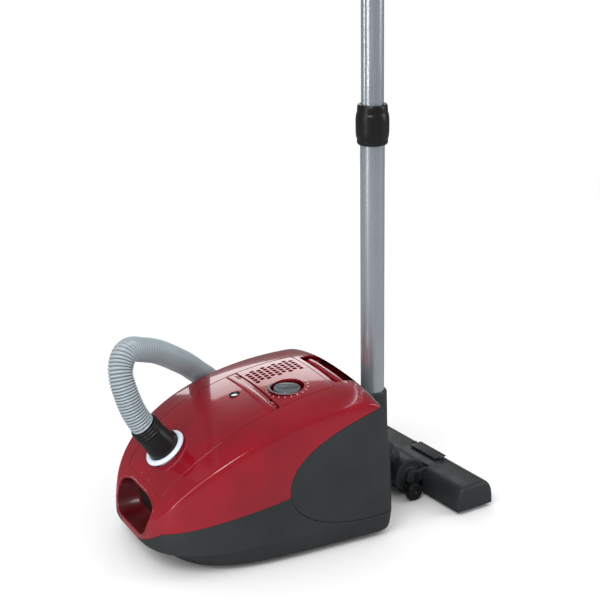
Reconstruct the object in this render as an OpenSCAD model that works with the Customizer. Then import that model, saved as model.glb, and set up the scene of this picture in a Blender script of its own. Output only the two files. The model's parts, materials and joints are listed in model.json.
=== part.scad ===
// Canister vacuum cleaner: bagged body, hose, telescopic wand and floor head, parked upright.
// Millimetres. +Z is up, -X is the front of the body, the floor is Z = 0.

/* [Body] */
// Half of the body's width
half_width = 142; // [138:1:144]
// Height of the crown above the floor
crown_h = 230; // [222:1:236]
// Wall thickness of the mouldings
wall = 3; // [2.5:0.1:3.5]
// Gap between neighbouring covers
seam_gap = 0.6; // [0.4:0.1:0.8]
// Radius of the rear wheels
wheel_r = 34; // [30:1:36]
// Diameter of the control dial
dial_d = 41; // [38:1:43]

/* [Wand] */
// Outer radius of the lower tube
lower_tube_r = 18; // [17:0.5:19]
// Outer radius of the upper tube
upper_tube_r = 16.5; // [15.5:0.5:16.5]
// Height of the height adjuster's lower edge
collar_z = 562; // [520:1:580]
// Height of the top of the wand
wand_top_z = 880; // [800:1:900]

/* [Floor head] */
// Width of the floor head
head_w = 266; // [250:1:268]
// Depth of the floor head
head_d = 66; // [60:1:70]
// Turn of the floor head about the wand
head_yaw = 6; // [0:1:6]

/* [Hose] */
// Outer radius of the hose
hose_r = 18.5; // [17:0.5:19]

/* [Hidden] */
$fn = 48;

// The body's form. Its plan and its crown are curves of X; t moves the form inward by t.
nose_x = -273.5;
tail_x = 97;
wide_x = -29;
peak_x = 40;
sill_z = 48;
belly_z = 38;
shoulder = 0.895;
shoulder_rise = 0.92;
floor_gap = 8;

function fall(f, p, q) = pow(max(0, 1 - pow(max(0, f), p)), 1 / q);
function crown(x, t = 0) = sill_z + (crown_h - t - sill_z)
    * fall((peak_x - x) / (peak_x - nose_x - t), 2.1, 1.73)
    * fall((x - peak_x) / (tail_x - t - peak_x), 3.2, 3.9);
function side_w(x, t = 0) = (half_width - t)
    * fall((wide_x - x) / (wide_x - nose_x - t), 3.5, 3.5)
    * fall((x - wide_x) / (tail_x - t - wide_x), 14, 6);
function crease_y(x, t = 0) = shoulder * side_w(x, t);
function crease_z(x, t = 0) = sill_z + shoulder_rise * (crown(x, t) - sill_z);
function top_z(x, y, t = 0) = crown(x, t) - (crown(x, t) - crease_z(x, t))
    * pow(min(1, abs(y) / max(0.01, crease_y(x, t))), 2.4);
function side_y(x, z, t = 0) = z <= sill_z ? side_w(x, t) : crease_y(x, t)
    + (side_w(x, t) - crease_y(x, t))
    * sin(90 * (crease_z(x, t) - z) / max(0.01, crease_z(x, t) - sill_z));
function seam_y(x) = crease_y(x) * (0.662 - 0.113 * (x + 219) / 250);
function bezier(p, t) = pow(1 - t, 3) * p[0] + 3 * t * pow(1 - t, 2) * p[1]
    + 3 * t * t * (1 - t) * p[2] + pow(t, 3) * p[3];
function curve(p, n = 12) = [for (i = [0:n]) bezier(p, i / n)];

// Seams of the body, as curves in the XZ plane.
base_seam = [[-259, 67], [-215, 84], [-140, 92], [-81, 103]];
panel_top = [[-81, 103], [-84, 150], [-30, 185], [98, 212]];
panel_low = [[-81, 103], [-70, 55], [0, 36], [98, 45]];
lid_front = -248;
lid_rear = -69.5;
cover_front = -63.8;
cover_rear = 28;

// Rings of points along X joined to one closed solid.
module skin(rings) {
    n = len(rings[0]);
    last = len(rings) - 1;
    points = [for (r = rings) each r];
    sides = [for (i = [0:last - 1], j = [0:n - 1]) each
        [[i * n + j, (i + 1) * n + j, i * n + (j + 1) % n],
         [i * n + (j + 1) % n, (i + 1) * n + j, (i + 1) * n + (j + 1) % n]]];
    half = floor((n - 1) / 2);
    caps = [for (e = [0, 1], j = [0:half - 1]) let (o = e * last * n, k = n - 1 - j)
        each (e == 0 ? [[o + j, o + j + 1, o + k], each j + 1 == k - 1 ? [] : [[o + j + 1, o + k - 1, o + k]]]
            : [[o + j, o + k, o + j + 1], each j + 1 == k - 1 ? [] : [[o + j + 1, o + k, o + k - 1]]])];
    polyhedron(points, concat(sides, caps));
}

function spaced(a, b, n) = [for (i = [0:n]) a + (b - a) * (1 - cos(180 * i / n)) / 2];
side_steps = 5;
top_steps = 6;
function half_ring(x, z0, t) = concat(
    [for (i = [0:side_steps - 1]) let (z = z0 + (crease_z(x, t) - z0) * i / side_steps)
        [x, side_y(x, z, t), z]],
    [for (i = [0:top_steps - 1]) let (y = crease_y(x, t) * (1 - i / top_steps))
        [x, y, top_z(x, y, t)]]);
function full_ring(x, z0, t) = let (h = half_ring(x, z0, t)) concat(h, [[x, 0, crown(x, t)]],
    [for (i = [len(h) - 1:-1:0]) [x, -h[i][1], h[i][2]]]);

// The whole upper form down to z0, moved inward by t.
module upper_form(z0, t) {
    skin([for (x = spaced(nose_x + t + 0.5, tail_x - t - 0.5, 24)) full_ring(x, z0, t)]);
}

module upper_shell() {
    difference() {
        upper_form(belly_z, 0);
        upper_form(belly_z - 1, wall);
    }
}

// A region given in the XZ plane, as a prism across the body.
module across(points, y0 = -160, y1 = 160) {
    translate([0, y1, 0]) rotate([90, 0, 0]) linear_extrude(y1 - y0) polygon(points);
}

// Below the nose's lip, which sinks towards the middle.
lip_back = -259;
module under_lip(g) {
    translate([nose_x - 10, 0, 0]) rotate([90, 0, 90]) linear_extrude(lip_back - nose_x + 10 + g)
        polygon(concat([for (y = [-96:12:96]) [y, 36 - g + 31 * pow(y / 88.7, 2)]], [[96, 0], [-96, 0]]));
}

module mouth_prism(grow = 0, depth = 40) {
    translate([nose_x - 5, 0, 75]) rotate([90, 0, 90]) linear_extrude(depth)
        polygon([[-64 - grow, 18 + grow], [-52 - grow, -28 - grow], [52 + grow, -28 - grow],
            [64 + grow, 18 + grow], [40, 28 + grow], [-40, 28 + grow]]);
}

// The lid's and motor cover's outline from above, between two stations, moved by g.
module plan_strip(x0, x1, g) {
    xs = [for (i = [0:24]) x0 + (x1 - x0) * i / 24];
    translate([0, 0, 60]) linear_extrude(200) polygon(concat(
        [for (x = xs) [x, seam_y(x) + g]], [for (i = [24:-1:0]) [xs[i], -seam_y(xs[i]) - g]]));
}

// Places that several parts share.
wheel_x = 42;
wheel_y = 104;
wheel_w = 22;
axle_r = 4;
run = 0.05;
caster_x = -195;
pivot_r = 6;
caster_r = 13;
trail = 9;
screw_spots = [[-150, 95], [-150, -95], [88, 60], [88, -60]];
wand_x = 131;
wall_x = -58;
fan_y = 15;
fan_z = 92;
reel_x = 12;
reel_z = 84;

// Plan outlines stacked in Z and joined to one solid.
function plan_w(x, nose, w) = w * fall((wide_x - x) / (wide_x - nose), 3.3, 3.3)
    * fall((x - wide_x) / (tail_x - wide_x), 14, 6);
function plan_ring(z, nose, w) = let (xs = spaced(nose + 0.3, tail_x - 0.3, 16)) concat(
    [for (x = xs) [x, -plan_w(x, nose, w), z]],
    [for (i = [16:-1:0]) [xs[i], plan_w(xs[i], nose, w), z]]);
module plan_stack(levels) { skin([for (l = levels) plan_ring(l[0], l[1], l[2])]); }

module along_y(r, y0, y1) { translate([0, y1, 0]) rotate([90, 0, 0]) cylinder(r = r, h = y1 - y0); }
module along_x(r, x0, x1) { translate([x0, 0, 0]) rotate([0, 90, 0]) cylinder(r = r, h = x1 - x0); }
module box(a, b) { translate(a) cube(b - a); }

module base_shell() {
    color("dimgray") difference() {
        union() {
            base_tub();
            for (s = [-1, 1]) box([wheel_x - 40, s * wheel_y - 16.3, floor_gap + 1],
                [wheel_x + 40, s * wheel_y + 16.3, 75]);
            translate([caster_x, 0, floor_gap + 1]) cylinder(r = 29, h = 29);
            translate([caster_x, 0, 37]) cylinder(r = 12, h = 13);
            for (p = screw_spots) translate([p[0], p[1], floor_gap + 1]) cylinder(r = 6, h = 22);
        }
        for (s = [-1, 1]) box([wheel_x - 37, s * wheel_y - 13.3, 0], [wheel_x + 37, s * wheel_y + 13.3, 72]);
        for (s = [-1, 1]) translate([wheel_x, s * wheel_y, wheel_r]) along_y(axle_r + run, -18, 18);
        translate([caster_x, 0, 0]) cylinder(r = 26, h = 35);
        translate([caster_x, 0, 30]) cylinder(r = pivot_r + run, h = 30);
        for (p = screw_spots) translate([p[0], p[1], 0]) cylinder(r = 2.2, h = 24);
        for (p = screw_spots) translate([p[0], p[1], 0]) cylinder(r = 4.5, h = 12);
    }
}

// Lower tub with the side walls of the form above it, cut along the seams.
module base_tub() {
    intersection() {
        union() {
            upper_shell();
            difference() {
                plan_stack([[floor_gap, -232, 132], [20, -243, 137], [belly_z, -270, 141.4], [42, -272.9, 141.4]]);
                plan_stack([[floor_gap + wall, -229, 129], [20, -240, 134], [belly_z, -267, 138.4],
                    [43, -269.9, 138.4]]);
            }
        }
        union() {
            across(concat([[lip_back, 0], [lip_back, 66]], [for (p = curve(base_seam)) p - [0, seam_gap]],
                [for (i = [1:12]) curve(panel_low)[i] - [0, seam_gap]], [[98, 0]]));
            under_lip(seam_gap);
        }
    }
}

// The rear cover's place, up to the edge of the upper housing.
module rear_region(g) {
    across([[70 - g, 50 - g], [140, 50 - g], [140, 211.2], [98, 211.2], [70 - g, 204.6]], -96 - g, 96 + g);
}

well_x = 34;
module upper_housing() {
    color("firebrick") difference() {
        upper_shell();
        across(concat([[lip_back, 0], [lip_back, 66]], curve(base_seam), curve(panel_top), [[110, 212], [110, 0]]));
        under_lip(0);
        mouth_prism();
        plan_strip(lid_front, cover_rear, 0);
        box([well_x, -58, 150], [well_x + 38, 58, 270]);
    }
    color("firebrick") handle_tray();
}

// Tray under the carry handle, with the bores for its hinge pins.
handle_x = 64;
handle_z = 213;
module handle_tray() {
    difference() {
        box([well_x - 1.5, -59.5, 198], [well_x + 39.5, 59.5, 221]);
        box([well_x, -58, 201], [well_x + 38, 58, 240]);
        translate([handle_x, 0, handle_z]) along_y(2.5 + run, -70, 70);
    }
}

module side_panel(s) {
    color("dimgray") intersection() {
        difference() {
            upper_form(belly_z, 0);
            upper_form(belly_z - 1, wall);
            rear_region(seam_gap);
        }
        across(concat([for (p = curve(panel_top)) p + [seam_gap, -seam_gap]],
            [for (i = [12:-1:1]) curve(panel_low)[i] + [0.3, 0.3]]),
            s < 0 ? -160 : 40, s < 0 ? -40 : 160);
    }
}
module side_panel_near() { side_panel(-1); }
module side_panel_far() { side_panel(1); }

module cover_strip(x0, x1) {
    intersection() {
        difference() {
            skin([for (x = spaced(x0 - 4, x1 + 4, 12)) full_ring(x, 90, 0)]);
            skin([for (x = spaced(x0 - 5, x1 + 5, 12)) full_ring(x, 89, wall)]);
        }
        plan_strip(x0, x1, -seam_gap);
    }
}

dial_x = -30;
dial_y = -31;
dial_z = 226;
bowl_r = 24.5;
stem_r = 5;
hinge_y = 52;
hinge_x = -68.5;
hinge_z = 214.2;
knuckle_r = 2.6;
hinge_pin_r = 1.5;

module motor_cover() {
    color("firebrick") difference() {
        union() {
            cover_strip(cover_front, cover_rear - seam_gap);
            translate([dial_x, dial_y, dial_z - 20]) cylinder(r = bowl_r + 2, h = 18);
        }
        translate([dial_x, dial_y, dial_z - 11]) cylinder(r = bowl_r, h = 40);
        translate([dial_x, dial_y, dial_z - 30]) cylinder(r = stem_r + run, h = 40);
        grille_slots();
    }
    color("firebrick") for (s = [-1, 1]) hinge_lug(s);
}

// Staggered rows of short air slots on the far half of the motor cover.
module grille_slots() {
    for (i = [0:8], j = [0:5]) {
        x = -59 + 9 * i;
        y = 10 + 9 * j + (i % 2) * 4.5;
        if (y < 54) translate([x, y, 190]) cube([6.6, 7.2, 60]);
    }
}

module hinge_lug(s) {
    translate([hinge_x, s * hinge_y, hinge_z]) difference() {
        union() {
            along_y(knuckle_r, -4, 4);
            box([0, -4, -2], [9, 4, 1]);
        }
        along_y(hinge_pin_r + run, -9, 9);
    }
}

module hinge_pins() {
    color("silver") for (s = [-1, 1]) translate([hinge_x, s * hinge_y, hinge_z])
        along_y(hinge_pin_r, -9.5, 9.5);
}

// The hose socket leans forward on the lid; z of this frame is the socket's axis.
ring_x = -212;
ring_z = crown(ring_x) + 3;
ring_tilt = 36;
socket_r = 26;
module on_socket() { translate([ring_x, 0, ring_z]) rotate([0, -ring_tilt, 0]) children(); }
window_x = -96;
window_y = 10;

module dust_lid() {
    color("firebrick") difference() {
        union() {
            cover_strip(lid_front, lid_rear);
            on_socket() translate([0, 0, -22]) cylinder(r = 30, h = 20);
            for (s = [-1, 1]) box([-246, s * 14 - 1, 104], [-232, s * 14 + 1, 117]);
        }
        on_socket() translate([0, 0, -60]) cylinder(r = socket_r, h = 100);
        translate([window_x, window_y, 150]) cylinder(r = 8.2, h = 100);
        for (s = [-1, 1]) box([-73, s * hinge_y - 4.5, 200], [-60, s * hinge_y + 4.5, 230]);
        for (s = [-1, 1]) translate([hinge_x, s * hinge_y, hinge_z]) along_y(hinge_pin_r + 0.4, -10.5, 10.5);
    }
    color("firebrick") for (s = [-1, 1], k = [-1, 1]) lid_knuckle(s * hinge_y + k * 7.5);
}

module lid_knuckle(y) {
    translate([hinge_x, y, hinge_z]) difference() {
        union() {
            along_y(knuckle_r, -2.5, 2.5);
            box([-5, -2.5, -1.5], [0, 2.5, 1.5]);
        }
        along_y(hinge_pin_r + run, -9, 9);
    }
}

module lid_seal() {
    color("black") difference() {
        intersection() {
            difference() {
                skin([for (x = spaced(lid_front - 5, lid_rear + 5, 12)) full_ring(x, 89, wall + 0.6)]);
                skin([for (x = spaced(lid_front - 5, lid_rear + 5, 12)) full_ring(x, 88, wall + 4.5)]);
            }
            plan_strip(-168, -110, -3);
        }
        plan_strip(-164, -114, -9);
    }
}

module lid_latch() {
    color("black") {
        box([-243, -12.5, 98], [-238, 12.5, 113]);
        box([-246, -12.5, 98], [-238, 12.5, 100.5]);
    }
}

module indicator_window() {
    color("white") translate([window_x, window_y, crown(window_x) - 4]) difference() {
        cylinder(r = 8, h = 4.5);
        translate([0, 0, 3]) cylinder(r = 6, h = 2);
    }
}

module swivel_ring() {
    color("white") on_socket() difference() {
        union() {
            translate([0, 0, -20]) cylinder(r = socket_r, h = 22);
            translate([0, 0, 2]) cylinder(r1 = 31, r2 = 29, h = 4);
        }
        translate([0, 0, -30]) cylinder(r = 24, h = 50);
    }
}

cuff_end = 56;
module hose_cuff() {
    color("black") on_socket() difference() {
        rotate_extrude() polygon([[16, -18], [23.95, -18], [23.95, 3], [23.5, 8], [20.8, 40],
            [20.8, 46], [21.8, 47], [21.8, 54], [20.5, cuff_end], [16, cuff_end]]);
        box([19.5, -4.6, 5.4], [30, 4.6, 15.6]);
    }
}
module cuff_button() {
    color("black") on_socket() box([21.6, -4.3, 6.6], [26, 4.3, 14.4]);
}

module bag_holder() {
    color("gainsboro") {
        on_socket() difference() {
            box([-34, -42, -30], [34, 42, -27]);
            translate([0, 0, -40]) cylinder(r = 18, h = 30);
        }
        for (s = [-1, 1]) box([-171, s * 36 - 3, floor_gap + wall + 0.2], [-167, s * 36 + 3, 147]);
    }
}

module dust_bag() {
    color("wheat") hull() {
        for (s = [-1, 1]) {
            translate([-128, s * 66, 84]) sphere(r = 26, $fn = 24);
            translate([-92, s * 70, 84]) sphere(r = 26, $fn = 24);
            translate([-96, s * 60, 150]) sphere(r = 26, $fn = 24);
            translate([-128, s * 60, 124]) sphere(r = 26, $fn = 24);
        }
    }
}

module compartment_wall() {
    color("dimgray") difference() {
        translate([wall_x - 1.5, 0, 0]) rotate([90, 0, 90]) linear_extrude(3) polygon(concat(
            [[-120, 11.3], [-133, 44]],
            [for (p = half_ring(wall_x, 50, wall + 1)) if (p[2] < 198) [-p[1], p[2]]], [[-100, 198], [100, 198]],
            [for (i = [side_steps + top_steps - 1:-1:0]) let (p = half_ring(wall_x, 50, wall + 1)[i])
                if (p[2] < 198) [p[1], p[2]]],
            [[133, 44], [120, 11.3]]));
        box([wall_x - 5, -42, 70], [wall_x + 5, 42, 154]);
    }
}

module motor_filter() {
    color("white") {
        box([wall_x - 6, -41, 71], [wall_x + 1.6, 41, 153]);
        box([wall_x + 1.6, -47, 65], [wall_x + 3.6, 47, 159]);
    }
}

module fan_housing() {
    color("gray") translate([0, fan_y, fan_z]) difference() {
        along_x(57, -46, -8);
        along_x(53, -43, -8.01 + 1);
        along_x(20, -50, -40);
    }
}
module impeller() {
    color("silver") translate([0, fan_y, fan_z]) difference() {
        union() {
            along_x(48, -40, -38);
            along_x(11, -38, -14);
            along_x(48, -16, -14);
            for (a = [0:45:315]) rotate([a, 0, 0]) box([-38, -1, 10], [-16, 1, 47]);
        }
        along_x(stem_r, -60, 0);
    }
}
module motor_shaft() {
    color("silver") translate([0, fan_y, fan_z]) along_x(stem_r, -40, 56);
}
module motor_case() {
    color("silver") translate([0, fan_y, fan_z]) difference() {
        along_x(46, -7.9, 58);
        along_x(42, -4, 54);
        along_x(stem_r + run, -20, 57);
        for (a = [0:60:300]) rotate([a, 0, 0]) box([10, -8, 40], [40, 8, 50]);
    }
}
module motor_mounts() {
    color("black") translate([0, fan_y, 0]) difference() {
        union() {
            box([42, -54, floor_gap + wall + 0.2], [56, 54, fan_z]);
            box([-4, -54, floor_gap + wall + 0.2], [6, 54, fan_z]);
        }
        translate([0, 0, fan_z]) along_x(46, -20, 70);
    }
}

module exhaust_filter() {
    color("ivory") box([82, 18, 66], [90, 88, 150]);
}

module control_board() {
    color("green") {
        box([-52, -62, 184], [2, -4, 185.6]);
        box([-49, -26, 178], [-33, -8, 184]);
        for (s = [0, 1]) translate([-46 + 42 * s, -56, 185.6]) cylinder(r = 2.5, h = 16.5);
    }
}

module cable_reel() {
    color("dimgray") translate([reel_x, 0, reel_z]) difference() {
        union() {
            along_y(58, -82, -80);
            along_y(58, -56, -54);
            along_y(26, -82, -54);
        }
        along_y(6 + run, -90, -40);
    }
}
module reel_axle() {
    color("silver") {
        translate([reel_x, 0, reel_z]) along_y(6, -84, -50);
        box([reel_x - 16, -50, floor_gap + wall + 0.2], [reel_x + 16, -47, reel_z + 10]);
    }
}

outlet_y = -62;
outlet_z = 78;
button_z = 140;
module rear_cover() {
    color("dimgray") difference() {
        intersection() {
            difference() {
                upper_form(belly_z, 0);
                upper_form(belly_z - 1, wall);
            }
            rear_region(0);
        }
        translate([0, outlet_y, outlet_z]) along_x(10, 60, 120);
        translate([0, outlet_y, button_z]) along_x(9.3, 60, 120);
        for (i = [0:6], s = [0, 1]) box([60, 30 + s * 30, 72 + 11 * i], [120, 54 + s * 30, 77 + 11 * i]);
    }
}
module cord_outlet() {
    color("black") translate([0, outlet_y, outlet_z]) difference() {
        union() {
            along_x(10, 88, 97.2);
            along_x(13, 97.2, 99.5);
        }
        along_x(6, 80, 110);
    }
}
module rewind_button() {
    color("gray") translate([0, outlet_y, button_z]) {
        along_x(9, 93, 101);
        along_x(3, 84, 93);
    }
}
module switch_plunger() {
    color("gray") translate([dial_x, dial_y, 0]) {
        translate([0, 0, 189]) cylinder(r = 4, h = 11);
        translate([0, 0, 188]) cylinder(r = 7, h = 1.5);
    }
}
module power_dial() {
    color("gray") translate([dial_x, dial_y, 0]) {
        translate([0, 0, 200]) cylinder(r = stem_r, h = 18);
        translate([0, 0, 217.4]) cylinder(r = dial_d / 2, h = 6);
        translate([0, 0, 223.4]) cylinder(r1 = dial_d / 2, r2 = dial_d / 2 - 2, h = 2);
        box([-dial_d / 2 + 3, -4, 225], [dial_d / 2 - 3, 4, 229.5]);
    }
}

module carry_handle() {
    color("firebrick") {
        translate([51, 0, 219]) along_y(6, -56, 56);
        for (s = [-1, 1]) box([51, s * 53 - 3, 213], [66, s * 53 + 3, 219]);
        translate([handle_x, 0, handle_z]) for (s = [-1, 1]) along_y(2.5, s * 57 - 2.4, s * 57 + 2.4);
        for (s = [-1, 1]) translate([handle_x, 0, handle_z]) along_y(4, s * 53 - 3, s * 53 + 3);
    }
}

module casing_screws() {
    color("silver") for (p = screw_spots) translate([p[0], p[1], 0]) {
        translate([0, 0, 9.5]) cylinder(r = 4, h = 2.4);
        translate([0, 0, 11.9]) cylinder(r = 2, h = 11);
    }
}

// Slot on the rear where the wand is parked, open at the top.
park_z = 96;
module parking_bracket() {
    color("black") {
        box([97.1, -20, park_z - 6], [99.1, 20, 140]);
        box([99.1, -20, park_z - 6], [106, 20, park_z - 2]);
        for (s = [-1, 1]) box([99.1, s * 17 - 3, park_z - 2], [104, s * 17 + 3, 140]);
        for (s = [-1, 1]) box([104, s * 14.5 - 5.5, park_z - 2], [106, s * 14.5 + 5.5, 140]);
    }
}

module wheel_at(s) {
    color("black") translate([wheel_x, s * wheel_y, wheel_r]) difference() {
        union() {
            along_y(wheel_r, -wheel_w / 2 + 2, wheel_w / 2 - 2);
            along_y(wheel_r - 4, -wheel_w / 2, wheel_w / 2);
        }
        along_y(axle_r + run, -20, 20);
    }
}
module wheel_near() { wheel_at(-1); }
module wheel_far() { wheel_at(1); }
module wheel_axles() {
    color("silver") for (s = [-1, 1]) translate([wheel_x, s * wheel_y, wheel_r]) along_y(axle_r, -17.5, 17.5);
}

module caster_fork() {
    color("dimgray") translate([caster_x, 0, 0]) {
        translate([0, 0, 31]) cylinder(r = pivot_r, h = 18);
        translate([0, 0, 28.5]) cylinder(r = 22, h = 3);
        for (s = [-1, 1]) difference() {
            box([trail - 7, s * 9.5 - 1.5, 8], [trail + 7, s * 9.5 + 1.5, 29]);
            translate([trail, 0, caster_r]) along_y(2.5, -20, 20);
        }
        translate([trail, 0, caster_r]) along_y(2.5, -11, 11);
    }
}
module caster_wheel() {
    color("black") translate([caster_x + trail, 0, caster_r]) difference() {
        along_y(caster_r, -7, 7);
        along_y(2.5 + run, -20, 20);
    }
}

// The front recess that a hand reaches into to open the lid.
module front_grip() {
    color("firebrick") difference() {
        intersection() {
            mouth_prism(-0.5, 44);
            upper_form(belly_z, 0.2);
        }
        mouth_prism(-3, 41.5);
        box([-260, -15, 94], [-220, 15, 110]);
        translate([-240, 0, 70]) along_x(14, -20, 20);
    }
}

// Hose: a tube swept along route points.
function unit(v) = v / norm(v);
function tangent(p, i) = unit(p[min(i + 1, len(p) - 1)] - p[max(i - 1, 0)]);
module tube_along(p, r, up, n = 12) {
    skin([for (i = [0:len(p) - 1]) let (d = tangent(p, i), u = unit(cross(up, d)), v = cross(d, u))
        [for (k = [0:n - 1]) let (a = 360 * (k + 0.5) / n) p[i] + r * (cos(a) * u + sin(a) * v)]]);
}

socket_axis = [-sin(ring_tilt), 0, cos(ring_tilt)];
cuff_tip = [ring_x, 0, ring_z] + (cuff_end + 0.1) * socket_axis;
hose_lift = [cuff_tip, cuff_tip + 6 * socket_axis, [-258, 2, 222], [-265, 6, 245], [-269, 12, 268], [-267, 19, 284], [-258, 28, 297],
    [-244, 38, 300], [-221, 52, 291], [-194, 68, 278], [-168, 87, 260], [-142, 110, 239.5],
    [-117, 134, 218.5], [-92.1, 152.9, 195.1]];
hose_drop = [[-92, 153, 195], [-67, 172, 171.5], [-42, 181, 138], [-14, 186, 100], [18, 189, 62],
    [54, 190, 33], [90, 190, 20], [121, 190, 19]];
hose_return = [[121, 440, 19], [70, 440, 19], [21, 440, 19]];
loop_r = 125;
turn_r = 70;
hose_floor = concat(
    [for (a = [15:15:165]) [121 + loop_r * sin(a), 190 + loop_r - loop_r * cos(a), 19]],
    hose_return,
    [for (a = [20:20:160]) [21 - turn_r * sin(a), 440 - turn_r + turn_r * cos(a), 19]],
    [[16, 300, 19], [21, 300, 19]]);
grip_start = [21, 300, 19];

module hose_front() { color("lightslategray") tube_along(hose_lift, hose_r, [0, 1, 0]); }
module hose_rest() { color("lightslategray") tube_along(concat(hose_drop, hose_floor), hose_r, [0, 0, 1]); }
module hose_grip() {
    color("black") translate(grip_start) difference() {
        union() {
            along_x(18.9, 0, 44);
            along_x(16.5, 44, 150);
            along_x(18.9, 150, 164);
            along_x(15.9, 164, 196);
        }
        along_x(13, 20, 220);
    }
}

// Wand.
module tube_sleeve() {
    color("dimgray") {
        translate([wand_x, 0, 0]) difference() {
            translate([0, 0, 104]) cylinder(r1 = 23, r2 = 22, h = 73);
            translate([0, 0, 90]) cylinder(r = 19 + run, h = 30);
            translate([0, 0, 119]) cylinder(r = lower_tube_r, h = 80);
        }
        difference() {
            union() {
                box([100, -12.5, park_z - 1.7], [103.5, 12.5, 144]);
                box([103.5, -6.5, 108], [112, 6.5, 144]);
            }
            translate([wand_x, 0, 90]) cylinder(r = 20, h = 80);
        }
    }
}
module lower_tube() {
    color("silver") translate([wand_x, 0, 0]) difference() {
        translate([0, 0, 121]) cylinder(r = lower_tube_r, h = collar_z - 121 + 30);
        translate([0, 0, 100]) cylinder(r = lower_tube_r - 1, h = collar_z);
    }
}
module upper_tube() {
    color("silver") translate([wand_x, 0, 0]) difference() {
        translate([0, 0, collar_z - 76]) cylinder(r = upper_tube_r, h = wand_top_z - 30 - collar_z + 76);
        translate([0, 0, collar_z - 90]) cylinder(r = upper_tube_r - 1, h = wand_top_z);
    }
}
module tube_collar() {
    color("black") translate([wand_x, 0, collar_z]) difference() {
        rotate_extrude() polygon([[lower_tube_r, 0], [23, 0], [24.5, 6], [24.5, 44], [22, 56], [20, 59],
            [upper_tube_r + 0.3, 59], [upper_tube_r + 0.3, 30.2], [lower_tube_r, 30.2]]);
        box([-6.3, 20.5, 10], [6.3, 30, 43]);
    }
}
module collar_slider() {
    color("gray") translate([wand_x, 0, collar_z]) box([-6, 21, 18.5], [6, 26.5, 41.5]);
}
module tube_socket() {
    color("black") translate([wand_x, 0, wand_top_z]) difference() {
        translate([0, 0, -38]) cylinder(r = 19.5, h = 38);
        translate([0, 0, -50]) cylinder(r = upper_tube_r, h = 20.02);
        translate([0, 0, -40]) cylinder(r = 16, h = 50);
    }
}

// Floor head, in a frame whose origin is on the wand's axis at the floor.
drum_x = 46;
drum_z = 33;
drum_r = 28;
drum_half = 38;
head_x = 95;
head_y = -8;
head_top = 46;
lean = 37;
module nozzle_frame() { translate([wand_x, 0, 0]) rotate([0, 0, head_yaw]) children(); }
module on_neck() { nozzle_frame() translate([drum_x, 0, drum_z]) rotate([0, -lean, 0]) children(); }

module nozzle_elbow() {
    color("dimgray") {
        translate([wand_x, 0, 94]) cylinder(r = 19, h = 24.5);
        hull() {
            translate([wand_x, 0, 92]) cylinder(r = 19, h = 4, $fn = 32);
            on_neck() translate([0, 0, 45]) cylinder(r = 18, h = 4, $fn = 32);
        }
        on_neck() translate([0, 0, 34]) cylinder(r = 15, h = 13);
    }
}
module nozzle_neck() {
    color("dimgray") {
        nozzle_frame() difference() {
            union() {
                translate([drum_x, 0, drum_z]) along_y(drum_r, -drum_half, drum_half);
                translate([drum_x, 0, drum_z]) rotate([0, -lean, 0]) cylinder(r = 19, h = 44.5);
                translate([roller_x, 0, roller_r]) along_y(6, -drum_half, drum_half);
            }
            translate([drum_x, 0, drum_z]) rotate([0, -lean, 0]) cylinder(r = 15 + run, h = 60);
            translate([drum_x, 0, drum_z]) along_y(6 + run, -60, 60);
            translate([roller_x, 0, roller_r]) along_y(3 + run, -60, 60);
        }
    }
}
roller_x = 40;
roller_r = 14;
module nozzle_rollers() {
    color("black") nozzle_frame() translate([roller_x, 0, roller_r]) {
        along_y(3, -60, 60);
        for (s = [-1, 1]) along_y(roller_r, s * 54 - 6, s * 54 + 6);
    }
}

module head_form(top, inset) {
    a = head_d / 2 - inset;
    b = head_w / 2 - inset;
    translate([head_x, head_y, 0]) hull() {
        for (s = [-1, 1], k = [-1, 1]) {
            translate([s * (a - 10), k * (b - 10), 4]) cylinder(r = 10, h = 20 - inset, $fn = 32);
            translate([s * (a - 14), k * (b - 16), top - 12]) sphere(r = 12, $fn = 24);
        }
    }
}
module nozzle_head() {
    color("dimgray") nozzle_frame() {
        difference() {
            head_form(head_top, 0);
            head_form(head_top - 3, 3);
            box([0, -200, 0], [200, 200, 5]);
            box([drum_x - 40, -47, 0], [drum_x + 30.5, 47, 80]);
            for (s = [-1, 1]) box([0, head_y + s * (head_w / 2 - 9) - 10, 0],
                [200, head_y + s * (head_w / 2 - 9) + 10, 80]);
        }
        box([drum_x + 30.5, -50, 15.5], [drum_x + 33.5, 50, head_top - 2]);
        for (s = [-1, 1]) box([head_x - head_d / 2 + 1, s * 48.5 - 1.5, 15.5],
            [drum_x + 33, s * 48.5 + 1.5, head_top - 8]);
        for (s = [-1, 1]) {
            translate([drum_x, 0, drum_z]) along_y(12, s * 42 - 3, s * 42 + 3);
            box([drum_x, s * 42 - 3, drum_z - 9], [drum_x + 33, s * 42 + 3, drum_z + 9]);
            translate([drum_x, 0, drum_z]) along_y(6, min(s * 30, s * 42), max(s * 30, s * 42));
        }
        for (s = [-1, 1]) difference() {
            box([pedal_x - 4, pedal_y + s * 35 - 2, head_top - 1], [pedal_x + 4, pedal_y + s * 35 + 2, pedal_z + 2.8]);
            translate([pedal_x, 0, pedal_z]) along_y(2 + run, -100, 100);
        }
    }
}
module end_caps() {
    color("dimgray") nozzle_frame() intersection() {
        head_form(head_top, 0);
        union() for (s = [-1, 1]) box([0, head_y + s * (head_w / 2 - 8.7) - 9.7, 5.2],
            [200, head_y + s * (head_w / 2 - 8.7) + 9.7, 80]);
    }
}
pedal_x = 104;
pedal_y = -6;
pedal_z = head_top + 2.4;
module nozzle_pedal() {
    color("black") nozzle_frame() translate([pedal_x, pedal_y, pedal_z]) {
        box([-11, -32.5, -1], [11, 32.5, 1.8]);
        along_y(2, -37, 37);
    }
}
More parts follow.
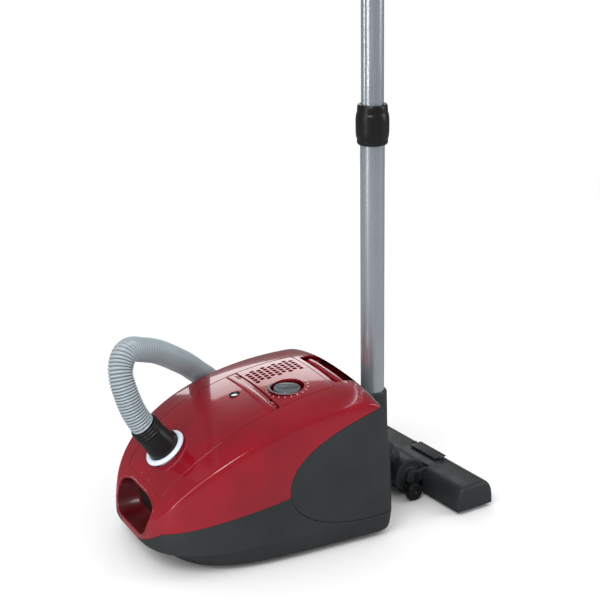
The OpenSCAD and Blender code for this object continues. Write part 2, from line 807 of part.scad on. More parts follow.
module sole_plate() {
    color("gray") nozzle_frame() translate([head_x, head_y, 0]) difference() {
        box([-26, -head_w / 2 + 12, 0], [head_d / 2 - 5, head_w / 2 - 12, 4.6]);
        box([-6, -70, -1], [8, 70, 8]);
        for (s = [-1, 1]) box([s * 17 - 3.5 - (s < 0 ? 1 : 0), -106, -1], [s * 17 + 3.5, 106, 8]);
    }
}
module brush_strip() {
    color("black") nozzle_frame() translate([head_x, head_y, 0]) {
        for (s = [-1, 1]) box([s * 17 - 2.5, -104, 4.5], [s * 17 + 2.5, 104, 14]);
        for (s = [-1, 1]) box([-17, s * 98 - 2, 11], [17, s * 98 + 2, 14]);
    }
}

base_shell();
upper_housing();
side_panel_near();
side_panel_far();
motor_cover();
rear_cover();
front_grip();
compartment_wall();
hinge_pins();
bag_holder();
dust_bag();
motor_filter();
exhaust_filter();
motor_case();
fan_housing();
motor_mounts();
impeller();
motor_shaft();
control_board();
cable_reel();
reel_axle();
cord_outlet();
rewind_button();
switch_plunger();
power_dial();
carry_handle();
casing_screws();
parking_bracket();
wheel_near();
wheel_far();
wheel_axles();
caster_fork();
caster_wheel();
dust_lid();
lid_seal();
lid_latch();
indicator_window();
swivel_ring();
hose_cuff();
cuff_button();
hose_front();
hose_rest();
hose_grip();
tube_sleeve();
lower_tube();
tube_collar();
collar_slider();
upper_tube();
tube_socket();
nozzle_elbow();
nozzle_neck();
nozzle_head();
end_caps();
sole_plate();
nozzle_pedal();
brush_strip();
nozzle_rollers();
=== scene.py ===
"""Looks of the canister vacuum cleaner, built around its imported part. Metres, in the part's own frame:
-X is the front of the body, +Z is up, the floor is Z = 0 and -Y is the side with the dial."""

import json
import math

import bmesh
import bpy
from mathutils import Matrix, Vector


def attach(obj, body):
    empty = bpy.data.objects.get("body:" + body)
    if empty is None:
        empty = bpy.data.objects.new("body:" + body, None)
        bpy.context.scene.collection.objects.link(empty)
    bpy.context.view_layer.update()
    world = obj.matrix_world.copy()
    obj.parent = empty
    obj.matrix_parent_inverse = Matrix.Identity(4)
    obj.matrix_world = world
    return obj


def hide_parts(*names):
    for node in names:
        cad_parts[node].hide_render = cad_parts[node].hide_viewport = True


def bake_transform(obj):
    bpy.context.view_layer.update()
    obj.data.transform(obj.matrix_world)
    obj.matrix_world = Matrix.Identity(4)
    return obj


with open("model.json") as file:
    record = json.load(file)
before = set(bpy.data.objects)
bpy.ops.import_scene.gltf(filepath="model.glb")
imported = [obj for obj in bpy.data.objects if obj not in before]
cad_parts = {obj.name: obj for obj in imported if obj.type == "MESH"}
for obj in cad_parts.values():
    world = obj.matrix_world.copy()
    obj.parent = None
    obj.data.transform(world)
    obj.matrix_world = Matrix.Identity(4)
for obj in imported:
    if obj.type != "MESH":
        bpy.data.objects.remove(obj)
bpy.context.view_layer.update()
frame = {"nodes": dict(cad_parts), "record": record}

# ---------------------------------------------------------------- camera
CAMERA_AT = Vector((-0.9875, -1.9611, 1.116))
CAMERA_LOOK = Vector((0.4274, 0.8410, -0.3317)).normalized()
CAMERA_ROLL = math.radians(0.9)
CAMERA_LENS = 95.6


def make_camera():
    data = bpy.data.cameras.new("camera")
    data.lens = CAMERA_LENS
    data.clip_start, data.clip_end = 0.05, 60
    cam = bpy.data.objects.new("camera", data)
    bpy.context.scene.collection.objects.link(cam)
    right = CAMERA_LOOK.cross(Vector((0, 0, 1))).normalized()
    up = right.cross(CAMERA_LOOK)
    across = right * math.cos(CAMERA_ROLL) - up * math.sin(CAMERA_ROLL)
    above = right * math.sin(CAMERA_ROLL) + up * math.cos(CAMERA_ROLL)
    turn = Matrix((across, above, -CAMERA_LOOK)).transposed().to_4x4()
    cam.matrix_world = Matrix.Translation(CAMERA_AT) @ turn
    bpy.context.scene.camera = cam


make_camera()


# ---------------------------------------------------------------- materials
def shader_nodes(name):
    mat = bpy.data.materials.new(name)
    mat.use_nodes = True
    nodes, links = mat.node_tree.nodes, mat.node_tree.links
    return mat, nodes, links, nodes["Principled BSDF"]


def noise(nodes, links, where, scale, detail=3.0, rough=0.55):
    tex = nodes.new("ShaderNodeTexNoise")
    tex.inputs["Scale"].default_value = scale
    tex.inputs["Detail"].default_value = detail
    tex.inputs["Roughness"].default_value = rough
    links.new(where, tex.inputs["Vector"])
    return tex.outputs["Fac"]


def spread(nodes, links, value, low, high, from_low=0.35, from_high=0.65):
    """A value near the middle of a noise, mapped to low .. high."""
    node = nodes.new("ShaderNodeMapRange")
    node.inputs["From Min"].default_value = from_low
    node.inputs["From Max"].default_value = from_high
    node.inputs["To Min"].default_value = low
    node.inputs["To Max"].default_value = high
    links.new(value, node.inputs["Value"])
    return node.outputs["Result"]


def mix_colour(nodes, links, factor, a, b):
    node = nodes.new("ShaderNodeMix")
    node.data_type = "RGBA"
    links.new(factor, node.inputs["Factor"])
    for socket, value in ((node.inputs["A"], a), (node.inputs["B"], b)):
        if isinstance(value, tuple):
            socket.default_value = (*value, 1)
        else:
            links.new(value, socket)
    return node.outputs["Result"]


def edge_light(nodes, links, low=0.53, high=0.62):
    """1 along sharp outer edges, 0 in grooves. It masks edges rubbed lighter, the painted highlight on the
    hose's ridges and the painted shade in its grooves.
    """
    geometry = nodes.new("ShaderNodeNewGeometry")
    return spread(nodes, links, geometry.outputs["Pointiness"], 0.0, 1.0, low, high)


def bump(nodes, links, height, strength, distance, round_edges=0.0):
    node = nodes.new("ShaderNodeBump")
    node.inputs["Strength"].default_value = strength
    node.inputs["Distance"].default_value = distance
    links.new(height, node.inputs["Height"])
    if round_edges:
        soft = nodes.new("ShaderNodeBevel")
        soft.samples = 4
        soft.inputs["Radius"].default_value = round_edges
        links.new(soft.outputs["Normal"], node.inputs["Normal"])
    return node.outputs["Normal"]


def moulded(name, colour, tint, rough, grain, depth, coat=0.0, wear_and_highlight=None, round_edges=0.0, groove=None,
            shine=0.5, smears=(55, 5)):
    """Moulded plastic: cloudy colour, a fine grain in the surface and edges that are rubbed lighter. On the
    hose the lighter ridges are a painted highlight and the darker grooves painted shade.
    """
    mat, nodes, links, bsdf = shader_nodes(name)
    place = nodes.new("ShaderNodeTexCoord").outputs["Object"]
    cloud = noise(nodes, links, place, 14)
    shade = mix_colour(nodes, links, spread(nodes, links, cloud, 0, 1), colour, tint)
    # edges rubbed lighter; on the hose this lighter colour on the ridges is a painted highlight
    if wear_and_highlight:
        shade = mix_colour(nodes, links, edge_light(nodes, links), shade, wear_and_highlight)
    # painted shade: the hose's grooves are darkened in colour
    if groove:
        shade = mix_colour(nodes, links, edge_light(nodes, links, 0.44, 0.503), groove, shade)
    links.new(shade, bsdf.inputs["Base Color"])
    smear = noise(nodes, links, place, *smears)
    links.new(spread(nodes, links, smear, rough * 0.86, rough * 1.16), bsdf.inputs["Roughness"])
    fine = noise(nodes, links, place, grain, 2)
    links.new(bump(nodes, links, fine, 0.35, depth, round_edges), bsdf.inputs["Normal"])
    bsdf.inputs["Coat Weight"].default_value = coat
    bsdf.inputs["Coat Roughness"].default_value = 0.06
    bsdf.inputs["Specular IOR Level"].default_value = shine
    return mat


def plated(name, colour, tint, rough, scale, metallic=1.0):
    """Plated or brushed metal, with fine lines that run along Z."""
    mat, nodes, links, bsdf = shader_nodes(name)
    place = nodes.new("ShaderNodeTexCoord").outputs["Object"]
    mapping = nodes.new("ShaderNodeMapping")
    mapping.inputs["Scale"].default_value = (scale, scale, scale * 0.015)
    links.new(place, mapping.inputs["Vector"])
    lines = noise(nodes, links, mapping.outputs["Vector"], 1.0, 4, 0.65)
    cloud = noise(nodes, links, place, 9)
    links.new(mix_colour(nodes, links, spread(nodes, links, cloud, 0, 1), colour, tint),
              bsdf.inputs["Base Color"])
    links.new(spread(nodes, links, lines, rough * 0.75, rough * 1.25), bsdf.inputs["Roughness"])
    links.new(bump(nodes, links, lines, 0.12, 0.0002), bsdf.inputs["Normal"])
    bsdf.inputs["Metallic"].default_value = metallic
    return mat


def woven(name, colour, tint, scale):
    """Paper, fleece and bristle: fibres in two directions, matte."""
    mat, nodes, links, bsdf = shader_nodes(name)
    place = nodes.new("ShaderNodeTexCoord").outputs["Object"]
    fibres = noise(nodes, links, place, scale, 6, 0.75)
    cloud = noise(nodes, links, place, 25)
    links.new(mix_colour(nodes, links, spread(nodes, links, cloud, 0, 1), colour, tint),
              bsdf.inputs["Base Color"])
    links.new(bump(nodes, links, fibres, 0.6, 0.0006), bsdf.inputs["Normal"])
    bsdf.inputs["Roughness"].default_value = 0.9
    bsdf.inputs["Sheen Weight"].default_value = 0.2
    return mat


RED = (0.250, 0.0012, 0.0095)
RED_DEEP = (0.205, 0.0010, 0.0085)
MATERIALS = {
    "housing_red": moulded("gloss_red", RED, RED_DEEP, 0.24, 60, 0.000012, coat=1.0, shine=0.3,
                           smears=(8, 0.5)),
    "base_grey": moulded("matte_grey", (0.026, 0.030, 0.032), (0.021, 0.025, 0.027), 0.47, 1500, 0.00012,
                         round_edges=0.0008, shine=0.36),
    "black_plastic": moulded("satin_black", (0.008, 0.008, 0.009), (0.009, 0.009, 0.010), 0.33, 1300, 0.00005,
                             wear_and_highlight=(0.030, 0.030, 0.032), round_edges=0.0005, shine=0.36),
    "grey_plastic": moulded("satin_grey", (0.085, 0.10, 0.108), (0.07, 0.085, 0.092), 0.34, 1200, 0.00005,
                            coat=0.2, wear_and_highlight=(0.16, 0.18, 0.19), round_edges=0.0005),
    "white_plastic": moulded("satin_white", (0.70, 0.75, 0.84), (0.62, 0.68, 0.78), 0.33, 1200, 0.00004,
                             coat=0.2, round_edges=0.0006),
    "inner_plastic": moulded("inner_black", (0.03, 0.03, 0.032), (0.02, 0.02, 0.022), 0.6, 700, 0.0002),
    # painted highlight on the ridges and painted shade in the grooves
    "hose_grey": moulded("hose_grey", (0.30, 0.35, 0.38), (0.25, 0.30, 0.33), 0.33, 700, 0.00006,
                         coat=0.3, wear_and_highlight=(0.46, 0.52, 0.55), groove=(0.05, 0.06, 0.065)),
    "tube_steel": plated("plated_tube", (0.56, 0.61, 0.66), (0.50, 0.55, 0.60), 0.30, 900, 0.8),
    "steel": plated("zinc_steel", (0.55, 0.54, 0.52), (0.45, 0.45, 0.46), 0.34, 600),
    "motor_metal": plated("pressed_metal", (0.50, 0.50, 0.51), (0.42, 0.42, 0.44), 0.42, 400),
    "paper": woven("bag_paper", (0.62, 0.50, 0.34), (0.55, 0.43, 0.28), 700),
    "filter_foam": woven("filter_fleece", (0.68, 0.68, 0.66), (0.58, 0.58, 0.57), 1100),
    "rubber": moulded("soft_rubber", (0.012, 0.012, 0.012), (0.018, 0.018, 0.018), 0.75, 800, 0.0002,
                      wear_and_highlight=(0.04, 0.04, 0.04)),
    "board": moulded("circuit_board", (0.01, 0.12, 0.04), (0.01, 0.09, 0.03), 0.4, 600, 0.0001),
    "bristle": woven("bristle_black", (0.012, 0.012, 0.013), (0.03, 0.03, 0.032), 2500),
}
PRINT_WHITE = moulded("print_white", (0.75, 0.62, 0.62), (0.66, 0.55, 0.55), 0.4, 900, 0.00002)
# painted shade: a darker red for the shade in the dial bowl, the handle tray, the hinge gap and the front
# recess
SHADED_RECESS_RED = moulded("recess_shade_red", (0.075, 0.0008, 0.003), (0.055, 0.0006, 0.0025), 0.34, 200, 0.00002,
                   coat=0.2, shine=0.3)
# painted shade: near black, for the shade behind the grille's slots and deep in the front recess
SHADE_BLACK = moulded("shade_black", (0.004, 0.004, 0.0045), (0.008, 0.006, 0.006), 0.5, 900, 0.00008)


def dress_cad_nodes():
    """Every carried-over CAD node takes the material of its slot in the record."""
    for row in frame["record"]["subparts"]:
        data = frame["nodes"][row["node"]].data
        data.materials.clear()
        data.materials.append(MATERIALS[row["material_slot"]])


# ---------------------------------------------------------------- mesh tools
SHARP = math.radians(32)


def finish_mesh(obj, sharp=SHARP):
    """Smooth shading, with edges kept crisp where faces meet at more than the sharp angle."""
    bm = bmesh.new()
    bm.from_mesh(obj.data)
    bmesh.ops.recalc_face_normals(bm, faces=bm.faces)
    for face in bm.faces:
        face.smooth = True
    for edge in bm.edges:
        edge.smooth = not (len(edge.link_faces) == 2 and edge.calc_face_angle(0.0) > sharp)
    bm.to_mesh(obj.data)
    bm.free()


def piece(name, verts, faces, body, slot, cad_nodes=(), material=None):
    """A finished mesh that rides on a body and stands for the CAD nodes it replaces."""
    data = bpy.data.meshes.new(name)
    data.from_pydata([tuple(v) for v in verts], [], faces)
    obj = bpy.data.objects.new(name, data)
    bpy.context.scene.collection.objects.link(obj)
    return settle(obj, body, slot, cad_nodes, material)


def settle(obj, body, slot, cad_nodes=(), material=None):
    finish_mesh(obj)
    obj.data.materials.clear()
    obj.data.materials.append(material or MATERIALS[slot])
    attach(obj, body)
    if cad_nodes:
        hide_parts(*cad_nodes)
    return obj


def raw(name, verts, faces):
    """A mesh for building with, its faces turned to agree."""
    data = bpy.data.meshes.new(name)
    data.from_pydata([tuple(v) for v in verts], [], faces)
    obj = bpy.data.objects.new(name, data)
    bpy.context.scene.collection.objects.link(obj)
    bm = bmesh.new()
    bm.from_mesh(data)
    bmesh.ops.recalc_face_normals(bm, faces=bm.faces)
    bm.to_mesh(data)
    bm.free()
    return obj


def apply_modifiers(obj):
    graph = bpy.context.evaluated_depsgraph_get()
    data = bpy.data.meshes.new_from_object(obj.evaluated_get(graph))
    old = obj.data
    obj.modifiers.clear()
    obj.data = data
    bpy.data.meshes.remove(old)


def boolean(obj, how, *others):
    """how is DIFFERENCE, INTERSECT or UNION. The other meshes are used up."""
    for other in others:
        mod = obj.modifiers.new("cut", "BOOLEAN")
        mod.operation = how
        mod.solver = "EXACT"
        mod.object = other
        apply_modifiers(obj)
        data = other.data
        bpy.data.objects.remove(other)
        bpy.data.meshes.remove(data)
    return obj


def grid_faces(rings, points, around=True, caps=True):
    """Faces that join rings of points. around closes each ring, caps close the ends."""
    faces = []
    for i in range(rings - 1):
        for j in range(points if around else points - 1):
            k = (j + 1) % points
            faces.append((i * points + j, i * points + k, (i + 1) * points + k, (i + 1) * points + j))
    if caps:
        faces.append(tuple(range(points)))
        faces.append(tuple(range((rings - 1) * points, rings * points)))
    return faces


def joined(rings):
    """Vertices and faces of closed rings of points, joined to one solid."""
    return [p for ring in rings for p in ring], grid_faces(len(rings), len(rings[0]))


def softened(outline, radius, steps=4, closed=False):
    """An outline with each corner rounded."""
    n = len(outline)
    points = []
    for i in range(n):
        here = Vector(outline[i])
        if not closed and i in (0, n - 1):
            points.append(tuple(here))
            continue
        back, on = Vector(outline[i - 1]) - here, Vector(outline[(i + 1) % n]) - here
        r = min(radius, back.length * 0.45, on.length * 0.45)
        a, b = here + back.normalized() * r, here + on.normalized() * r
        for k in range(steps + 1):
            t = k / steps
            points.append(tuple((1 - t) ** 2 * a + 2 * t * (1 - t) * here + t * t * b))
    return points


AXIS_R = 1e-5  # a profile that ends on its axis stops this short of it


def loop_faces(loops, n):
    """Faces that join each loop of n points to the next, and the last to the first."""
    faces = []
    for k in range(loops):
        m = (k + 1) % loops
        for j in range(n):
            i = (j + 1) % n
            faces.append((k * n + j, k * n + i, m * n + i, m * n + j))
    return faces


def turned(profile, place, segments=72, radius=0.0008):
    """Vertices and faces of a profile of (radius, height) turned about the Z axis of place."""
    line = softened(profile, radius, closed=True) if radius else profile
    verts = [place @ Vector((r * math.cos(a), r * math.sin(a), z))
             for a in (2 * math.pi * k / segments for k in range(segments)) for r, z in line]
    return verts, loop_faces(segments, len(line))


def lathe(name, profile, place, body, slot, cad_nodes=(), segments=72, radius=0.0008, material=None):
    verts, faces = turned(profile, place, segments, radius)
    return piece(name, verts, faces, body, slot, cad_nodes, material)


def disc(r, z0, z1, bore=0.0):
    """Profile of a disc or ring for lathe()."""
    inner = max(bore, AXIS_R)
    return [(inner, z0), (r, z0), (r, z1), (inner, z1)]


def cylinder(name, r, z0, z1, place, segments=64):
    """A plain cylinder, to cut or build with."""
    return raw(name, *turned(disc(r, z0, z1), place, segments, 0))


def prism(name, outline, low, high, place):
    """The outline in the XY plane of place, raised from low to high."""
    n = len(outline)
    verts = [place @ Vector((x, y, z)) for z in (low, high) for x, y in outline]
    return raw(name, verts, grid_faces(2, n))


def block(low, high, radius=0.001, segments=3, place=Matrix.Identity(4)):
    """Vertices and faces of a box with rounded edges."""
    bm = bmesh.new()
    bmesh.ops.create_cube(bm, size=1)
    for v in bm.verts:
        v.co = Vector([low[i] + (high[i] - low[i]) * (v.co[i] + 0.5) for i in range(3)])
    if radius:
        bmesh.ops.bevel(bm, geom=bm.edges[:], offset=radius, segments=segments, profile=0.5,
                        affect="EDGES", clamp_overlap=True)
    bm.verts.index_update()
    verts = [place @ v.co for v in bm.verts]
    faces = [[v.index for v in f.verts] for f in bm.faces]
    bm.free()
    return verts, faces


def box(name, low, high, radius=0.0, segments=3):
    """A box, to cut or build with."""
    return raw(name, *block(low, high, radius, segments))


def combined(*parts):
    """Several (vertices, faces) as one."""
    verts, faces = [], []
    for more_verts, more_faces in parts:
        start = len(verts)
        verts += list(more_verts)
        faces += [tuple(i + start for i in face) for face in more_faces]
    return verts, faces


def along(axis, at):
    """A frame at a point whose Z runs along an axis."""
    return Matrix.Translation(Vector(at)) @ Vector(axis).to_track_quat("Z", "Y").to_matrix().to_4x4()


def sideways(*at):
    return along((0, 1, 0), at)


def backwards(*at):
    return along((1, 0, 0), at)


def upright(x, y, z=0.0):
    return Matrix.Translation((x, y, z))


def bezier(p, t):
    a, b, c, d = (Vector(q) for q in p)
    return (1 - t) ** 3 * a + 3 * t * (1 - t) ** 2 * b + 3 * t * t * (1 - t) * c + t ** 3 * d


def curve(p, n=24):
    return [tuple(bezier(p, i / n)) for i in range(n + 1)]


def swept(path, radii, segments=32, caps=True, first=Vector((0, 1, 0))):
    """A tube along a path, with one radius for each of its points, without twist."""
    verts = []
    side = first
    for i, p in enumerate(path):
        ahead = (path[min(i + 1, len(path) - 1)] - path[max(i - 1, 0)]).normalized()
        side = (side - ahead * side.dot(ahead)).normalized()
        other = ahead.cross(side)
        for k in range(segments):
            a = 2 * math.pi * k / segments
            verts.append(p + radii[i] * (math.cos(a) * side + math.sin(a) * other))
    return verts, grid_faces(len(path), segments, caps=caps)


def smooth_route(points, step):
    """Points a step apart on the smooth curve through the given ones."""
    pts = [Vector(p) for p in points]
    ends = [2 * pts[0] - pts[1], *pts, 2 * pts[-1] - pts[-2]]
    fine = []
    for i in range(1, len(ends) - 2):
        p0, p1, p2, p3 = ends[i - 1:i + 3]
        k1, k2, k3 = ((b - a).length ** 0.5 for a, b in ((p0, p1), (p1, p2), (p2, p3)))
        m1 = (p2 - p1) + k2 * ((p1 - p0) / k1 - (p2 - p0) / (k1 + k2))
        m2 = (p2 - p1) + k2 * ((p3 - p2) / k3 - (p3 - p1) / (k2 + k3))
        for k in range(24):
            t = k / 24
            fine.append((2 * t ** 3 - 3 * t * t + 1) * p1 + (t ** 3 - 2 * t * t + t) * m1
                        + (3 * t * t - 2 * t ** 3) * p2 + (t ** 3 - t * t) * m2)
    fine.append(pts[-1])
    lengths = [0.0]
    for a, b in zip(fine, fine[1:]):
        lengths.append(lengths[-1] + (b - a).length)
    count = max(2, round(lengths[-1] / step))
    out, j = [], 0
    for i in range(count + 1):
        want = lengths[-1] * i / count
        while j < len(lengths) - 2 and lengths[j + 1] < want:
            j += 1
        t = (want - lengths[j]) / max(1e-9, lengths[j + 1] - lengths[j])
        out.append(fine[j].lerp(fine[j + 1], min(1, t)))
    return out, lengths[-1]


# ---------------------------------------------------------------- form of the body
HALF_W, CROWN_H, WALL, GAP = 0.142, 0.230, 0.003, 0.0006
NOSE_X, TAIL_X, WIDE_X, PEAK_X = -0.2735, 0.097, -0.029, 0.040
SILL_Z, BELLY_Z, FLOOR_GAP = 0.048, 0.038, 0.008
SHOULDER, SHOULDER_RISE = 0.895, 0.92
LID_FRONT, LID_REAR, COVER_FRONT, COVER_REAR = -0.248, -0.0695, -0.0638, 0.028
BASE_SEAM = [(-0.259, 0.067), (-0.215, 0.084), (-0.140, 0.092), (-0.081, 0.103)]
PANEL_TOP = [(-0.081, 0.103), (-0.084, 0.150), (-0.030, 0.185), (0.098, 0.212)]
PANEL_LOW = [(-0.081, 0.103), (-0.070, 0.055), (0.0, 0.036), (0.098, 0.045)]
LIP_BACK = -0.259
CREASE_SOFT = 0.0032


def fall(f, p, q):
    return max(0.0, 1 - max(0.0, f) ** p) ** (1 / q)


def crown(x, t=0.0):
    return SILL_Z + (CROWN_H - t - SILL_Z) * fall((PEAK_X - x) / (PEAK_X - NOSE_X - t), 2.1, 1.73) \
        * fall((x - PEAK_X) / (TAIL_X - t - PEAK_X), 3.2, 3.9)


def side_w(x, t=0.0):
    return (HALF_W - t) * fall((WIDE_X - x) / (WIDE_X - NOSE_X - t), 3.5, 3.5) \
        * fall((x - WIDE_X) / (TAIL_X - t - WIDE_X), 14, 6)


def crease(x, t=0.0):
    return SHOULDER * side_w(x, t), SILL_Z + SHOULDER_RISE * (crown(x, t) - SILL_Z)


def top_z(x, y, t=0.0):
    edge, low = crease(x, t)
    high = crown(x, t)
    return high - (high - low) * min(1.0, abs(y) / max(1e-5, edge)) ** 2.4


def side_y(x, z, t=0.0):
    if z <= SILL_Z:
        return side_w(x, t)
    edge, top = crease(x, t)
    return edge + (side_w(x, t) - edge) * math.sin(math.pi / 2 * (top - z) / max(1e-5, top - SILL_Z))


def seam_y(x):
    return crease(x)[0] * (0.662 - 0.113 * (x + 0.219) / 0.25)


def spaced(a, b, n):
    """Stations that crowd towards both ends."""
    return [a + (b - a) * (1 - math.cos(math.pi * i / n)) / 2 for i in range(n + 1)]


def section(x, z0, t, side_steps=18, top_steps=20, round_steps=5):
    """Half of the form at a station, from its lower edge up over the rounded crease to the middle."""
    edge, top = crease(x, t)
    soft = min(CREASE_SOFT, edge * 0.2, (top - z0) * 0.2)
    side = [(side_y(x, z0 + (top - soft - z0) * i / side_steps, t), z0 + (top - soft - z0) * i / side_steps)
            for i in range(side_steps + 1)]
    roof = [(y, top_z(x, y, t)) for y in ((edge - soft) * (1 - i / top_steps) for i in range(top_steps + 1))]
    corner = Vector((edge, top))
    bend = [tuple((1 - k) ** 2 * Vector(side[-1]) + 2 * k * (1 - k) * corner + k * k * Vector(roof[0]))
            for k in (i / round_steps for i in range(1, round_steps))]
    return side + bend + roof


def form(z0, t, x0=NOSE_X, x1=TAIL_X, n=84):
    """The closed upper form down to z0, moved inward by t."""
    rings = []
    for x in spaced(x0 + t + 0.0005, x1 - t - 0.0005, n):
        half = section(x, z0, t)
        rings.append([(x, y, z) for y, z in half] + [(x, -y, z) for y, z in reversed(half[:-1])])
    return raw("form", *joined(rings))


def shell():
    return boolean(form(BELLY_Z, 0.0), "DIFFERENCE", form(BELLY_Z - 0.001, WALL))


def across(outline, y0=-0.16, y1=0.16):
    """A region given in the XZ plane, as a prism across the body."""
    place = Matrix(((1, 0, 0, 0), (0, 0, 1, 0), (0, 1, 0, 0), (0, 0, 0, 1)))
    return prism("across", outline, y0, y1, place)


FACING_FRONT = Matrix(((0, 0, 1, 0), (1, 0, 0, 0), (0, 1, 0, 0), (0, 0, 0, 1)))


def under_lip(gap, back=LIP_BACK):
    """Below the nose's lip, which sinks towards the middle."""
    ys = [-0.096 + 0.192 * i / 32 for i in range(33)]
    outline = [(y, 0.036 - gap + 0.031 * (y / 0.0887) ** 2) for y in ys] + [(0.096, 0.0), (-0.096, 0.0)]
    return prism("under_lip", outline, NOSE_X - 0.01, back + gap, FACING_FRONT)


def mouth_outline(grow):
    corners = [(-0.064 - grow, 0.093 + grow), (-0.052 - grow, 0.047 - grow), (0.052 + grow, 0.047 - grow),
               (0.064 + grow, 0.093 + grow), (0.036, 0.103 + grow), (-0.036, 0.103 + grow)]
    return softened(corners, 0.022, 9, closed=True)


def plan_strip(x0, x1, grow, n=48):
    xs = [x0 + (x1 - x0) * i / n for i in range(n + 1)]
    outline = [(x, seam_y(x) + grow) for x in xs] + [(x, -seam_y(x) - grow) for x in reversed(xs)]
    return prism("strip", outline, 0.06, 0.26, Matrix.Identity(4))


def lowered(outline, drop=GAP):
    return [(x, z - drop) for x, z in outline]


# ---------------------------------------------------------------- hose, first after the camera
RING_X, RING_TILT, CUFF_END = -0.212, math.radians(36), 0.056
SOCKET = Matrix.Translation((RING_X, 0, crown(RING_X) + 0.003)) @ Matrix.Rotation(-RING_TILT, 4, "Y")
CUFF_TIP = SOCKET @ Vector((0, 0, CUFF_END))
HOSE_R = 0.0185
LOOP_R, TURN_R = 0.125, 0.070
HOSE_LIFT = [
    CUFF_TIP, SOCKET @ Vector((0, 0, CUFF_END + 0.006)), (-0.258, 0.002, 0.222), (-0.265, 0.006, 0.245),
    (-0.269, 0.012, 0.268), (-0.267, 0.019, 0.284), (-0.258, 0.028, 0.297), (-0.244, 0.038, 0.300),
    (-0.221, 0.052, 0.291), (-0.194, 0.068, 0.278), (-0.168, 0.087, 0.260), (-0.142, 0.110, 0.2395),
    (-0.117, 0.134, 0.2185)]
HOSE_DROP = [
    (-0.092, 0.153, 0.195), (-0.067, 0.172, 0.1715), (-0.042, 0.181, 0.138), (-0.014, 0.186, 0.100),
    (0.018, 0.189, 0.062), (0.054, 0.190, 0.033), (0.090, 0.190, 0.020), (0.121, 0.190, 0.019)]


def turn_round(middle, r, start, way, angles):
    """Points on a half turn on the floor, the angles in degrees from start."""
    return [(middle[0] + way * r * math.sin(a), middle[1] + start * r * math.cos(a), FLOOR_Z)
            for a in map(math.radians, angles)]


FLOOR_Z = 0.019
HOSE_FLOOR = turn_round((0.121, 0.190 + LOOP_R), LOOP_R, -1, 1, range(15, 166, 15)) \
    + [(0.121, 0.440, FLOOR_Z), (0.070, 0.440, FLOOR_Z), (0.021, 0.440, FLOOR_Z)] \
    + turn_round((0.021, 0.370), TURN_R, 1, -1, range(20, 161, 20)) \
    + [(0.016, 0.300, FLOOR_Z), (0.021, 0.300, FLOOR_Z)]
GRIP_START = Vector((0.021, 0.300, 0.019))
RIDGE = 0.0042


def hose():
    """The ribbed hose, from the cuff over the body's far side to the grip put away behind the body."""
    route, length = smooth_route(HOSE_LIFT + HOSE_DROP + HOSE_FLOOR, RIDGE / 4)
    wave = (HOSE_R - 0.0027, HOSE_R - 0.0009, HOSE_R, HOSE_R - 0.0007)
    radii = [wave[i % 4] for i in range(len(route))]
    verts, faces = swept(route, radii, 30)
    obj = bpy.data.objects.new("hose", bpy.data.meshes.new("hose"))
    obj.data.from_pydata([tuple(v) for v in verts], [], faces)
    bpy.context.scene.collection.objects.link(obj)
    finish_mesh(obj, math.radians(80))
    obj.data.materials.append(MATERIALS["hose_grey"])
    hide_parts("hose_front", "hose_rest")
    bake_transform(obj)
    grip = hose_grip()


def hose_grip():
    """The grip on the hose's end, with a collar, a waist and the spigot that the wand takes."""
    profile = [(0.013, 0.02), (0.013, 0.0), (0.0189, 0.0), (0.0189, 0.040), (0.0165, 0.046), (0.0155, 0.095),
               (0.0165, 0.148), (0.0189, 0.150), (0.0189, 0.164), (0.0159, 0.166), (0.0156, 0.196),
               (0.013, 0.196)]
    return lathe("hose_grip_body", profile, backwards(*GRIP_START), "canister", "black_plastic",
                 ["hose_grip"], 64, 0.0015)


dress_cad_nodes()
hose()


# ---------------------------------------------------------------- body shells
def upper_housing():
    obj = shell()
    front_cut = [(LIP_BACK, 0.0), (LIP_BACK, 0.0665), *curve(BASE_SEAM), *curve(PANEL_TOP, 40)[1:],
                 (0.11, 0.212), (0.11, 0.0)]
    boolean(obj, "DIFFERENCE", across(front_cut), under_lip(0.0),
            prism("mouth", mouth_outline(0.0), NOSE_X - 0.005, NOSE_X + 0.035, FACING_FRONT),
            plan_strip(LID_FRONT, COVER_REAR, 0.0),
            box("well", (WELL_FRONT, -WELL_HALF, 0.15), (WELL_REAR, WELL_HALF, 0.27), 0.006, 4))
    obj.name = "red_housing"
    settle(obj, "canister", "housing_red", ["upper_housing"])


WELL_FRONT, WELL_REAR, WELL_HALF = 0.034, 0.072, 0.058
TRAY_WALL = 0.0015


def handle_well():
    """The tray under the carry handle, in a darker red that paints the shade in the recess."""
    outer = box("tray", (WELL_FRONT - TRAY_WALL, -WELL_HALF - TRAY_WALL, 0.198),
                (WELL_REAR + TRAY_WALL, WELL_HALF + TRAY_WALL, 0.2235), 0.007, 4)
    inner = box("tray_room", (WELL_FRONT, -WELL_HALF, 0.2005), (WELL_REAR, WELL_HALF, 0.26), 0.006, 4)
    boolean(outer, "DIFFERENCE", inner, box("above", (0.02, -0.07, 0.2222), (0.09, 0.07, 0.26)))
    outer.name = "handle_tray"
    # painted shade: the tray is darker red for the shade in it
    settle(outer, "canister", "housing_red", material=SHADED_RECESS_RED)


